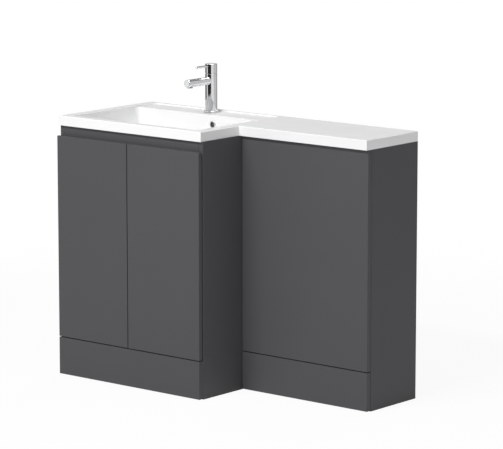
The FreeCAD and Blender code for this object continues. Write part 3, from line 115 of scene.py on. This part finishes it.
CLOUD_HIGH = 0.7

# Colour sockets of the Mix node, by place, because other sockets of it have the same names
MIX_SHARE = 0
MIX_FIRST = 6
MIX_SECOND = 7
MIX_RESULT = 2

# Meshes
WELD = 0.000001
SHARP_ANGLE = math.radians(38)

# Screws: shares of the head, angles in degrees, and six columns to each quarter of a head
LEVEL_DIGITS = 5
QUARTERS = 4
QUARTER = 90
COLUMNS = 24
HEAD_ROW_SHARES = (1.0, 0.92, 0.8, 0.66)
HEAD_SEAT_SHARE = 0.92
HEAD_EDGE_SHARE = 0.45
RECESS_ROW_SHARES = (0.6, 0.48, 0.36, 0.26)
RECESS_ARM_SHARE = 0.13
RECESS_DEPTH_SHARE = 0.8
RECESS_WALL = 2.5
RECESS_CORNER = 41.0
SHANK_TO_TIP = 6
POINT_IN_SHANK_RADII = 2

# Threads: the waste's two lengths have heights from the underside of its washer
WASTE_THREAD = {"radius": 0.02125, "ridge": 0.00028, "pitch": 0.0023, "columns": 64}
WASTE_THREAD_ENDS = ((-0.0675, -0.0395), (-0.0355, -0.019))
WASTE_THREAD_INSIDE = 0.0205
STUD_THREAD = {"radius": 0.004, "ridge": 0.0006, "pitch": 0.00125, "columns": 32}
THREAD_ROWS = 8

# Honeycomb in the spout's mouth
SCREEN_REACH = 0.0072
SCREEN_CELL = 0.00105
SCREEN_RIB = 0.0002
SCREEN_THICKNESS = 0.001
SCREEN_INSET = 0.00055
SCREEN_WELD = 0.00001
CELL_SIDES = 6
CELL_TURN = 60
CELL_FIRST_TURN = 30
CELL_ROW_SHARE = 1.5
CELL_COLUMN_SHARE = math.sqrt(3)

# Door buffers: the foot's share of the depth, and the dome's rows in degrees
BUFFER_FOOT_SHARE = 0.45
BUFFER_DOME_ROWS = (20, 40, 60, 78)

# Camera, from the straight edges of the photograph, with its turns in degrees
IMAGE_WIDTH = 503
FOCAL_PIXELS = 2982.48
SENSOR_WIDTH = 36.0
CAMERA_PLACE = Vector((5.96794, -7.1163, 2.13707))
CAMERA_TURN = 39.6435
CAMERA_TILT = -9.8627
CAMERA_LEVEL = 90.0
CAMERA_REACH = 60.0

# Floor and background
WHITE = (1.0, 1.0, 1.0)
AMBIENT = 0.05
FLOOR_WHITE = (0.9, 0.9, 0.9)
FLOOR_RADIUS = 9.0
FLOOR_SEGMENTS = 96
FLOOR_CLEAR_RADIUS = 1.3
FLOOR_FADE_RADIUS = 3.0
FLOOR_GLOW_SHARE = 0.92

# Softboxes: place, width, height and power
SOFTBOX_AIM = Vector((0.0, 0.0, 0.5))
SOFTBOXES = {
    "key_softbox": ((0.0, -3.6, 4.4), 3.0, 0.5, 209.0),
    "front_softbox": ((0.3, -4.5, 2.0), 2.4, 2.4, 36.0),
    "top_softbox": ((0.2, -0.4, 4.2), 2.4, 2.4, 31.0),
    "side_softbox": ((5.0, 0.4, 1.4), 2.4, 2.4, 46.0),
    "back_softbox": ((-1.0, 4.6, 2.6), 2.4, 2.4, 80.0),
}

# Reflection cards: lower and upper edge, and the tone between two bearings in degrees
CARD_STEP = 3.0
CARD_RADIUS = 3.0
FULL_TURN = 360
CARD_HIDDEN_FROM = ("camera", "diffuse", "transmission", "volume_scatter", "shadow")
CARD_BANDS = {
    "tall": ((-0.2, 2.6), {(-100, -64): 0.04, (-64, -44): 0.72, (-44, -37): 1.0, (-37, -31): 0.72,
                           (-31, 39): 0.025, (39, 84): 0.9, (84, 128): 0.6, (128, 152): 0.64}),
    "low": ((-0.2, 0.85), {(-140, -100): 0.04, (152, 172): 0.4, (172, 220): 0.3}),
    "back": ((0.85, 1.65), {(195, 245): 0.6}),
    "high": ((1.65, 6.0), {(152, 190): 0.28, (190, 245): 0.18}),
}


# Node tools


def feed(tree, socket, value):
    """Links a socket to an output, or gives it a value of its own; colours come without alpha."""
    if isinstance(value, bpy.types.NodeSocket):
        tree.links.new(value, socket)
    elif socket.type == "RGBA":
        socket.default_value = (*value, 1.0)
    else:
        socket.default_value = value


def put(tree, kind, inputs=None, **settings):
    """Adds a node with its settings and feeds its sockets, given by name or by place."""
    made = tree.nodes.new(kind)
    for name, value in settings.items():
        setattr(made, name, value)
    for name, value in (inputs or {}).items():
        feed(tree, made.inputs[name], value)
    return made


def maths(tree, operation, first, second=0.0):
    return put(tree, "ShaderNodeMath", {0: first, 1: second}, operation=operation).outputs[0]


def vector_maths(tree, operation, first, second):
    return put(tree, "ShaderNodeVectorMath", {0: first, 1: second}, operation=operation).outputs[0]


def blend_colours(tree, share, first, second):
    inputs = {MIX_SHARE: share, MIX_FIRST: first, MIX_SECOND: second}
    return put(tree, "ShaderNodeMix", inputs, data_type="RGBA").outputs[MIX_RESULT]


def between(tree, value, low, high, to_low=0.0, to_high=1.0):
    inputs = {"Value": value, "From Min": low, "From Max": high, "To Min": to_low, "To Max": to_high}
    return put(tree, "ShaderNodeMapRange", inputs, interpolation_type="SMOOTHSTEP").outputs[0]


def own_spot(tree):
    """The shaded point, in the piece's own axes."""
    return put(tree, "ShaderNodeTexCoord").outputs["Object"]


def noise(tree, spot, scale, detail, distortion=0.0):
    inputs = {"Vector": spot, "Scale": scale, "Detail": detail, "Distortion": distortion}
    return put(tree, "ShaderNodeTexNoise", inputs).outputs["Fac"]


def swing(tree, value, reach):
    """Noise turned into a value that goes to both sides of zero."""
    return maths(tree, "MULTIPLY", maths(tree, "SUBTRACT", value, NOISE_MIDDLE), reach)


def raised(tree, height, given):
    """The normal of a surface raised by a height, with the strength and depth that an effect is given."""
    inputs = {"Strength": given["Strength"], "Distance": given["Depth"], "Height": height}
    return put(tree, "ShaderNodeBump", inputs).outputs["Normal"]


def effect(name, inputs, outputs):
    """An empty node group with named sockets; returns its tree, the values given to it and its results."""
    tree = bpy.data.node_groups.new(name, "ShaderNodeTree")
    for side, sockets in (("INPUT", inputs), ("OUTPUT", outputs)):
        for label, kind in sockets.items():
            tree.interface.new_socket(label, in_out=side, socket_type=f"NodeSocket{kind}")
    return tree, tree.nodes.new("NodeGroupInput").outputs, tree.nodes.new("NodeGroupOutput").inputs


def place_effect(tree, effect_tree, inputs):
    return put(tree, "ShaderNodeGroup", inputs, node_tree=effect_tree).outputs


# Shared effects


def make_mottle():
    """Colour that drifts between two tones over the surface, broad clouds with a finer speckle."""
    inputs = {"Tone": "Color", "Other Tone": "Color", "Cloud Scale": "Float", "Speckle Scale": "Float",
              "Speckle": "Float"}
    tree, given, result = effect("tone_mottle", inputs, {"Color": "Color"})
    spot = own_spot(tree)
    cloud = noise(tree, spot, given["Cloud Scale"], detail=3.0)
    speck = noise(tree, spot, given["Speckle Scale"], detail=2.0)
    broad = between(tree, cloud, CLOUD_LOW, CLOUD_HIGH)
    both = maths(tree, "ADD", broad, swing(tree, speck, given["Speckle"]))
    share = put(tree, "ShaderNodeClamp", {"Value": both}).outputs[0]
    feed(tree, result["Color"], blend_colours(tree, share, given["Tone"], given["Other Tone"]))
    return tree


def make_gloss():
    """Roughness that wavers round a base, as handled and wiped surfaces do."""
    inputs = {"Roughness": "Float", "Spread": "Float", "Scale": "Float"}
    tree, given, result = effect("wiped_gloss", inputs, {"Roughness": "Float"})
    smear = noise(tree, own_spot(tree), given["Scale"], detail=4.0, distortion=0.6)
    drift = swing(tree, smear, given["Spread"])
    feed(tree, result["Roughness"], maths(tree, "ADD", given["Roughness"], drift))
    return tree


def make_relief():
    """A fine skin of bumps, from an orange-peel gel coat to a pressed laminate."""
    inputs = {"Scale": "Float", "Depth": "Float", "Strength": "Float"}
    tree, given, result = effect("skin_relief", inputs, {"Normal": "Vector"})
    bumps = noise(tree, own_spot(tree), given["Scale"], detail=2.0)
    feed(tree, result["Normal"], raised(tree, bumps, given))
    return tree


def make_grain():
    """Fine parallel lines, drawn out along the axes that are stretched least."""
    inputs = {"Stretch": "Vector", "Depth": "Float", "Strength": "Float"}
    tree, given, result = effect("drawn_grain", inputs, {"Lines": "Float", "Normal": "Vector"})
    drawn = vector_maths(tree, "MULTIPLY", own_spot(tree), given["Stretch"])
    lines = noise(tree, drawn, scale=1.0, detail=3.0)
    feed(tree, result["Lines"], lines)
    feed(tree, result["Normal"], raised(tree, lines, given))
    return tree


def make_board_edges():
    """Masks of a board's arrises, which are lightened partly as wear and partly as a painted highlight, and
    of its edge band's fine joint line, from the board's box.
    """
    inputs = {"Low": "Vector", "High": "Vector", "Arris": "Float", "Band": "Float", "Line": "Float"}
    tree, given, result = effect("board_edges", inputs, {"Arris": "Float", "Line": "Float"})
    spot = own_spot(tree)
    from_low = vector_maths(tree, "SUBTRACT", spot, given["Low"])
    from_high = vector_maths(tree, "SUBTRACT", given["High"], spot)
    reach = vector_maths(tree, "MINIMUM", from_low, from_high)
    apart = put(tree, "ShaderNodeSeparateXYZ", {"Vector": reach}).outputs
    lesser = maths(tree, "MINIMUM", apart["X"], apart["Y"])
    greater = maths(tree, "MAXIMUM", apart["X"], apart["Y"])
    to_edge = maths(tree, "MAXIMUM", lesser, maths(tree, "MINIMUM", greater, apart["Z"]))
    off_line = maths(tree, "ABSOLUTE", maths(tree, "SUBTRACT", to_edge, given["Band"]))
    feed(tree, result["Arris"], between(tree, to_edge, 0.0, given["Arris"], to_low=1.0, to_high=0.0))
    feed(tree, result["Line"], between(tree, off_line, 0.0, given["Line"], to_low=1.0, to_high=0.0))
    return tree


MOTTLE = make_mottle()
GLOSS = make_gloss()
RELIEF = make_relief()
GRAIN = make_grain()
BOARD_EDGES = make_board_edges()


# Finishes


def finish(name):
    made = bpy.data.materials.new(name)
    made.use_nodes = True
    return made, made.node_tree


def shade(material, **sockets):
    """Feeds the sockets of a finish's Principled shader, named with underscores for spaces."""
    tree = material.node_tree
    shader = tree.nodes["Principled BSDF"]
    for label, value in sockets.items():
        feed(tree, shader.inputs[label.replace("_", " ")], value)
    return material


def toned(colour, share):
    """A darker colour, or a paler one where the share is over 1."""
    return tuple(min(1.0, share * tone) for tone in colour)


def mottled(tree, colour, other, values):
    return place_effect(tree, MOTTLE, {"Tone": colour, "Other Tone": other, **values})["Color"]


def wiped(tree, values):
    return place_effect(tree, GLOSS, values)["Roughness"]


def skinned(tree, values):
    return place_effect(tree, RELIEF, values)["Normal"]


def grey_board(name):
    """Satin grey laminate on one board, with its banded edges and arrises lightened partly as wear and
    partly as a painted highlight.
    """
    made, tree = finish(f"{name}_laminate")
    low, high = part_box(name)
    tone = mottled(tree, BOARD_GREY, toned(BOARD_GREY, BOARD_CLOUD_SHARE), BOARD_MOTTLE)
    edges = place_effect(tree, BOARD_EDGES, {"Low": low, "High": high, **BOARD_BAND})
    line_share = maths(tree, "MULTIPLY", edges["Line"], EDGE_LINE_SHARE)
    arris_wear_and_highlight_share = maths(tree, "MULTIPLY", edges["Arris"], ARRIS_WEAR_AND_HIGHLIGHT_SHARE)
    lined = blend_colours(tree, line_share, tone, BOARD_EDGE_LINE)
    # The arrises are lightened, partly as wear and partly as a painted highlight
    worn_and_highlit = blend_colours(tree, arris_wear_and_highlight_share, lined, BOARD_ARRIS_WEAR_AND_HIGHLIGHT)
    return shade(made, Specular_IOR_Level=BOARD_SPECULAR, Base_Color=worn_and_highlit,
                 Roughness=wiped(tree, BOARD_GLOSS), Normal=skinned(tree, BOARD_RELIEF))


def cast_white():
    """Gloss gel coat on the cast top."""
    made, tree = finish("cast_white_gel")
    tone = mottled(tree, GEL_WHITE, GEL_WHITE_COOL, GEL_MOTTLE)
    return shade(made, Specular_IOR_Level=GEL_SPECULAR, Base_Color=tone,
                 Roughness=wiped(tree, GEL_GLOSS), Normal=skinned(tree, GEL_RELIEF))


def chrome_plate():
    """Bright plating with faint smudges."""
    made, tree = finish("chrome_plate")
    tone = mottled(tree, CHROME, toned(CHROME, CHROME_SMUDGE_SHARE), CHROME_MOTTLE)
    return shade(made, Metallic=1.0, Base_Color=tone, Roughness=wiped(tree, CHROME_GLOSS))


def drawn_metal(name, colour, stretch, roughness):
    """Plated or machined metal with fine lines along its working direction."""
    made, tree = finish(name)
    grain = place_effect(tree, GRAIN, {"Stretch": stretch, **METAL_GRAIN})
    tone = blend_colours(tree, grain["Lines"], toned(colour, METAL_LINE_SHARE), colour)
    gloss = wiped(tree, {"Roughness": roughness, **METAL_GLOSS})
    return shade(made, Metallic=1.0, Base_Color=tone, Roughness=gloss, Normal=grain["Normal"])


def moulded(name, colour, roughness, relief_scale):
    """Moulded rubber or plastic with a fine eroded skin."""
    made, tree = finish(name)
    tone = mottled(tree, colour, toned(colour, MOULDED_CLOUD_SHARE), MOULDED_MOTTLE)
    gloss = wiped(tree, {"Roughness": roughness, **MOULDED_GLOSS})
    relief = skinned(tree, {"Scale": relief_scale, **MOULDED_RELIEF})
    return shade(made, Specular_IOR_Level=MOULDED_SPECULAR, Base_Color=tone, Roughness=gloss, Normal=relief)


def beech_peg():
    """Bare beech with its grain along the dowel."""
    made, tree = finish("beech_peg")
    grain = place_effect(tree, GRAIN, BEECH_GRAIN)
    tone = blend_colours(tree, grain["Lines"], toned(BEECH, BEECH_LINE_SHARE), BEECH)
    return shade(made, Specular_IOR_Level=BEECH_SPECULAR, Base_Color=tone,
                 Roughness=wiped(tree, BEECH_GLOSS), Normal=grain["Normal"])


FINISHES = {
    "cast_white": cast_white(),
    "chrome": chrome_plate(),
    "zinc_steel": drawn_metal("zinc_steel_plate", ZINC, stretch=(900.0, 900.0, 60.0), roughness=0.3),
    "nickel_steel": drawn_metal("nickel_steel_plate", NICKEL, stretch=(700.0, 80.0, 700.0), roughness=0.28),
    "brass": drawn_metal("machined_brass", BRASS, stretch=(60.0, 60.0, 2200.0), roughness=0.3),
    "black_rubber": moulded("black_rubber_seal", RUBBER, roughness=0.6, relief_scale=700.0),
    "clear_buffer": moulded("soft_buffer", BUFFER, roughness=0.35, relief_scale=500.0),
    "grey_plastic": moulded("grey_moulding", GREY_PLASTIC, roughness=0.45, relief_scale=900.0),
    "white_plastic": moulded("white_moulding", WHITE_PLASTIC, roughness=0.4, relief_scale=900.0),
    "beech_dowel": beech_peg(),
}


def dress(thing, material):
    thing.data.materials.clear()
    thing.data.materials.append(material)


def dress_frame():
    for name, slot in SLOT_OF.items():
        dress(NODES[name], grey_board(name) if slot == "grey_board" else FINISHES[slot])


# Mesh tools


def mesh_of(name, shape):
    mesh = bpy.data.meshes.new(name)
    shape.to_mesh(mesh)
    shape.free()
    return mesh


def show(name, data):
    thing = bpy.data.objects.new(name, data)
    bpy.context.scene.collection.objects.link(thing)
    return thing


def piece(name, shape, body, slot, stands_for=None):
    """Makes a finished shape a piece that moves with a body and has a slot's finish."""
    bmesh.ops.recalc_face_normals(shape, faces=shape.faces)
    mesh = mesh_of(name, shape)
    mesh.shade_smooth()
    mesh.set_sharp_from_angle(angle=SHARP_ANGLE)
    thing = show(name, mesh)
    dress(thing, FINISHES[slot])
    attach(thing, body)
    if stands_for:
        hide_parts(stands_for)


def ring_points(radius, lift, columns=COLUMNS):
    turns = [2 * math.pi * column / columns for column in range(columns)]
    return [(radius * math.cos(turn), radius * math.sin(turn), lift) for turn in turns]


def skin(shape, rows, place, hollow=False):
    """Joins rings of points, given in the piece's own axes, into a closed surface."""
    rings = [[shape.verts.new(place @ Vector(point)) for point in row] for row in rows]
    pairs = list(zip(rings, rings[1:]))
    if hollow:
        pairs.append((rings[-1], rings[0]))
    else:
        shape.faces.new(rings[0])
        shape.faces.new(rings[-1])
    for near, far in pairs:
        for index in range(len(near)):
            after = (index + 1) % len(near)
            shape.faces.new((near[index], near[after], far[after], far[index]))


def facing(place, direction, up):
    """Places a piece's own Z axis at a point and along a direction."""
    return Matrix.Translation(place) @ direction.to_track_quat("Z", up).to_matrix().to_4x4()


def span(points):
    """The low and the high corner of the box round some points."""
    return [Vector([pick(point[axis] for point in points) for axis in range(3)]) for pick in (min, max)]


def solids_of(name):
    """The points of each separate solid in a frame node."""
    shell = bmesh.new()
    shell.from_mesh(NODES[name].data)
    bmesh.ops.remove_doubles(shell, verts=shell.verts, dist=WELD)
    shell.verts.index_update()
    shell.verts.ensure_lookup_table()
    groups = []
    taken = [False] * len(shell.verts)
    for first in range(len(taken)):
        if taken[first]:
            continue
        taken[first] = True
        queue = [first]
        group = []
        while queue:
            corner = shell.verts[queue.pop()]
            group.append(corner.co.copy())
            for edge in corner.link_edges:
                other = edge.other_vert(corner).index
                if not taken[other]:
                    taken[other] = True
                    queue.append(other)
        groups.append(group)
    shell.free()
    return groups


# Screws


def plain_screw(points):
    """Seat, direction, head radius, head height, shank radius and length of a plain screw solid."""
    low, high = span(points)
    along = max(range(3), key=lambda axis: high[axis] - low[axis])
    middle = (low + high) / 2
    reach_at = {}
    for point in points:
        out = point - middle
        out[along] = 0.0
        level = round(point[along], LEVEL_DIGITS)
        reach_at[level] = max(reach_at.get(level, 0.0), out.length)
    levels = sorted(reach_at)
    if reach_at[levels[0]] < reach_at[levels[-1]]:
        levels.reverse()
    top, under_head, tip = levels[0], levels[1], levels[-1]
    seat = middle.copy()
    seat[along] = under_head
    direction = Vector((0.0, 0.0, 0.0))
    direction[along] = math.copysign(1.0, tip - top)
    return seat, direction, reach_at[top], abs(under_head - top), reach_at[tip], abs(tip - under_head)


def crown_share(share):
    """How high a pan head stands at a share of its radius, as a share of its full height."""
    return HEAD_EDGE_SHARE + (1 - HEAD_EDGE_SHARE) * math.sqrt(1 - share ** 2)


def recess_row(share, head_radius, head_height):
    """One ring of a screw's crown: its points step down into the four arms of the cross."""
    radius = head_radius * share
    crown = -head_height * crown_share(share)
    sunk = crown + head_height * RECESS_DEPTH_SHARE * (1 - share)
    edge = min(RECESS_CORNER, math.degrees(math.asin(min(1.0, RECESS_ARM_SHARE / share))))
    steps = ((0, sunk), (edge - RECESS_WALL, sunk), (edge + RECESS_WALL, crown), (QUARTER / 2, crown),
             (QUARTER - edge - RECESS_WALL, crown), (QUARTER - edge + RECESS_WALL, sunk))
    points = []
    for quarter in range(QUARTERS):
        for bearing, lift in steps:
            turn = math.radians(QUARTER * quarter + bearing)
            points.append((radius * math.cos(turn), radius * math.sin(turn), lift))
    return points


def crosshead(shape, points):
    """A pan-head screw with a cross recess, in the place of a plain screw solid."""
    seat, direction, head_radius, head_height, shank_radius, length = plain_screw(points)
    rows = [ring_points(shank_radius / SHANK_TO_TIP, length),
            ring_points(shank_radius, length - POINT_IN_SHANK_RADII * shank_radius),
            ring_points(shank_radius, 0.0),
            ring_points(head_radius * HEAD_SEAT_SHARE, 0.0)]
    rows += [ring_points(head_radius * share, -head_height * crown_share(share))
             for share in HEAD_ROW_SHARES]
    rows += [recess_row(share, head_radius, head_height) for share in RECESS_ROW_SHARES]
    skin(shape, rows, facing(seat, direction, "Y"))


def crosshead_screws(node, body):
    shape = bmesh.new()
    for points in solids_of(node):
        crosshead(shape, points)
    piece(f"{node}_crosshead", shape, body, SLOT_OF[node], node)


# Threads


def thread_rows(low, high, radius, ridge, pitch, columns):
    """Rings of a cylinder whose surface rises and falls along one helix."""
    count = round((high - low) / pitch * THREAD_ROWS)
    rows = []
    for row in range(count + 1):
        lift = low + (high - low) * row / count
        points = []
        for column in range(columns):
            turn = 2 * math.pi * column / columns
            reach = radius - ridge * (1 + math.sin(2 * math.pi * lift / pitch - turn)) / 2
            points.append((reach * math.cos(turn), reach * math.sin(turn), lift))
        rows.append(points)
    return rows


def on_axis(low, high):
    """Places an upright piece on the axis of a box, with its heights as they are."""
    return Matrix.Translation(((low.x + high.x) / 2, (low.y + high.y) / 2, 0.0))


def waste_thread():
    """The two threaded lengths of the waste's tail, below and above its groove."""
    low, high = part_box("waste_washer")
    shape = bmesh.new()
    for ends in WASTE_THREAD_ENDS:
        start, end = [low.z + height for height in ends]
        below, above = [ring_points(WASTE_THREAD_INSIDE, lift, WASTE_THREAD["columns"])
                        for lift in (start, end)]
        rows = [below, *thread_rows(start, end, **WASTE_THREAD), above]
        skin(shape, rows, on_axis(low, high), hollow=True)
    piece("waste_tail_thread", shape, "cabinet", "chrome")


def stud_thread():
    """The threaded stud that draws the tap down on its ledge."""
    low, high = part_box("tap_fixing_stud")
    shape = bmesh.new()
    skin(shape, thread_rows(low.z, high.z, **STUD_THREAD), on_axis(low, high))
    piece("tap_stud_threaded", shape, "cabinet", "zinc_steel", "tap_fixing_stud")


# Aerator and buffers


def screen_spots():
    """The middles of the cells that fit in the spout's mouth."""
    cells = math.ceil(SCREEN_REACH / SCREEN_CELL)
    spots = []
    for row in range(-cells, cells + 1):
        for column in range(-cells, cells + 1):
            spot = Vector((CELL_COLUMN_SHARE * SCREEN_CELL * (column + row / 2),
                           CELL_ROW_SHARE * SCREEN_CELL * row, 0.0))
            if spot.length + SCREEN_CELL <= SCREEN_REACH:
                spots.append(spot)
    return spots


def aerator_screen():
    """A honeycomb in the spout's mouth, whose neighbouring cells share their corners."""
    low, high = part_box("tap_aerator")
    middle = Vector(((low.x + high.x) / 2, (low.y + high.y) / 2, low.z + SCREEN_INSET))
    turns = [math.radians(CELL_FIRST_TURN + CELL_TURN * side) for side in range(CELL_SIDES)]
    shape = bmesh.new()
    corners = {}
    borders = {}

    def corner(spot, radius, turn, lift):
        place = middle + spot + Vector((radius * math.cos(turn), radius * math.sin(turn), lift))
        key = tuple(round(value / SCREEN_WELD) for value in place)
        if key not in corners:
            corners[key] = shape.verts.new(place)
        return corners[key]

    for spot in screen_spots():
        outer, upper_outer, inner, upper_inner = [
            [corner(spot, radius, turn, lift) for turn in turns]
            for radius in (SCREEN_CELL, SCREEN_CELL - SCREEN_RIB) for lift in (0.0, SCREEN_THICKNESS)]
        for side in range(CELL_SIDES):
            after = (side + 1) % CELL_SIDES
            for near, far in ((outer, inner), (upper_outer, upper_inner), (inner, upper_inner)):
                shape.faces.new((near[side], near[after], far[after], far[side]))
            wall = (outer[side], outer[after], upper_outer[after], upper_outer[side])
            if borders.pop((outer[after], outer[side]), None) is None:
                borders[(outer[side], outer[after])] = wall
    for wall in borders.values():
        shape.faces.new(wall)
    piece("aerator_screen", shape, "cabinet", "grey_plastic")


def domed_buffers(node, body):
    """Soft door stops: a flat foot on the door and a low dome towards the cabinet."""
    shape = bmesh.new()
    for points in solids_of(node):
        low, high = span(points)
        radius = (high.x - low.x) / 2
        depth = high.y - low.y
        foot = Vector(((low.x + high.x) / 2, low.y, (low.z + high.z) / 2))
        rows = [ring_points(radius, 0.0), ring_points(radius, depth * BUFFER_FOOT_SHARE)]
        for row in BUFFER_DOME_ROWS:
            turn = math.radians(row)
            rise = BUFFER_FOOT_SHARE + (1 - BUFFER_FOOT_SHARE) * math.sin(turn)
            rows.append(ring_points(radius * math.cos(turn), depth * rise))
        skin(shape, rows, facing(foot, Vector((0.0, 1.0, 0.0)), "X"))
    piece(f"{node}_domed", shape, body, "clear_buffer", node)


def fittings():
    crosshead_screws("front_screws", "cabinet")
    for hand in ("left", "right"):
        crosshead_screws(f"{hand}_plate_screws", "cabinet")
        crosshead_screws(f"{hand}_cup_screws", f"{hand}_door_leaf")
        domed_buffers(f"{hand}_door_buffers", f"{hand}_door_leaf")
    waste_thread()
    stud_thread()
    aerator_screen()


# Studio


def blank_tree(owner):
    """The node tree of a material or a world, with nothing in it."""
    owner.use_nodes = True
    owner.node_tree.nodes.clear()
    return owner.node_tree


def seen_directly(tree):
    """1 for rays from the camera, from polished surfaces and through clear ones, otherwise 0."""
    path = put(tree, "ShaderNodeLightPath").outputs
    polished_or_clear = maths(tree, "MAXIMUM", path["Is Glossy Ray"], path["Is Transmission Ray"])
    return maths(tree, "MAXIMUM", path["Is Camera Ray"], polished_or_clear)


def floor():
    """A white floor that keeps the unit's shadow and runs out into the white background."""
    plan = bmesh.new()
    bmesh.ops.create_circle(plan, cap_ends=True, segments=FLOOR_SEGMENTS, radius=FLOOR_RADIUS)
    thing = show("studio_floor", mesh_of("studio_floor", plan))
    material = bpy.data.materials.new("studio_floor")
    tree = blank_tree(material)
    distance = put(tree, "ShaderNodeVectorMath", {0: own_spot(tree)}, operation="LENGTH").outputs["Value"]
    share = between(tree, distance, FLOOR_CLEAR_RADIUS, FLOOR_FADE_RADIUS, FLOOR_GLOW_SHARE, 1.0)
    glow_share = maths(tree, "MULTIPLY", share, seen_directly(tree))
    matt = put(tree, "ShaderNodeBsdfDiffuse", {"Color": FLOOR_WHITE}).outputs[0]
    glow = put(tree, "ShaderNodeEmission", {"Strength": 1.0}).outputs[0]
    mixed = put(tree, "ShaderNodeMixShader", {0: glow_share, 1: matt, 2: glow}).outputs[0]
    put(tree, "ShaderNodeOutputMaterial", {"Surface": mixed})
    dress(thing, material)


def world():
    """A white background that gives the unit only a little light."""
    made = bpy.data.worlds.new("studio")
    bpy.context.scene.world = made
    tree = blank_tree(made)
    strength = between(tree, seen_directly(tree), 0.0, 1.0, AMBIENT, 1.0)
    light = put(tree, "ShaderNodeBackground", {"Color": WHITE, "Strength": strength}).outputs[0]
    put(tree, "ShaderNodeOutputWorld", {"Surface": light})


def softbox(name, place, width, height, power):
    """A flat lamp that faces the middle of the unit."""
    data = bpy.data.lights.new(name, "AREA")
    data.shape = "RECTANGLE"
    data.size = width
    data.size_y = height
    data.energy = power
    lamp = show(name, data)
    lamp.location = place
    lamp.rotation_euler = (SOFTBOX_AIM - Vector(place)).to_track_quat("-Z", "Y").to_euler()


def reflection_card(name, start, end, heights, tone):
    """A grey card that only shows in polished surfaces, bent round the tap between two bearings."""
    tap_low, tap_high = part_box("tap_base_ring")
    axis = (tap_low + tap_high) / 2
    card = bmesh.new()
    rows = []
    steps = math.ceil((end - start) / CARD_STEP)
    for step in range(steps + 1):
        bearing = math.radians(start + (end - start) * step / steps)
        spot = (axis.x + CARD_RADIUS * math.sin(bearing), axis.y - CARD_RADIUS * math.cos(bearing))
        rows.append([card.verts.new((*spot, height)) for height in heights])
    for near, far in zip(rows, rows[1:]):
        card.faces.new((near[0], far[0], far[1], near[1]))
    thing = show(name, mesh_of(name, card))
    material = bpy.data.materials.new(name)
    tree = blank_tree(material)
    grey = put(tree, "ShaderNodeEmission", {"Color": (tone, tone, tone)}).outputs[0]
    put(tree, "ShaderNodeOutputMaterial", {"Surface": grey})
    dress(thing, material)
    for ray in CARD_HIDDEN_FROM:
        setattr(thing, f"visible_{ray}", False)


def light_studio():
    world()
    for name, (place, width, height, power) in SOFTBOXES.items():
        softbox(name, place, width, height, power)
    for band, (heights, tones) in CARD_BANDS.items():
        for (start, end), tone in tones.items():
            reflection_card(f"{band}_card_{start % FULL_TURN}", start, end, heights, tone)


def camera():
    data = bpy.data.cameras.new("photo_camera")
    data.sensor_fit = "HORIZONTAL"
    data.sensor_width = SENSOR_WIDTH
    data.lens = FOCAL_PIXELS / IMAGE_WIDTH * SENSOR_WIDTH
    data.clip_end = CAMERA_REACH
    thing = show("photo_camera", data)
    thing.location = CAMERA_PLACE
    thing.rotation_euler = (math.radians(CAMERA_LEVEL + CAMERA_TILT), 0.0, math.radians(CAMERA_TURN))
    bpy.context.scene.camera = thing


dress_frame()
fittings()
floor()
light_studio()
camera()
bpy.context.scene.view_settings.view_transform = "Standard"
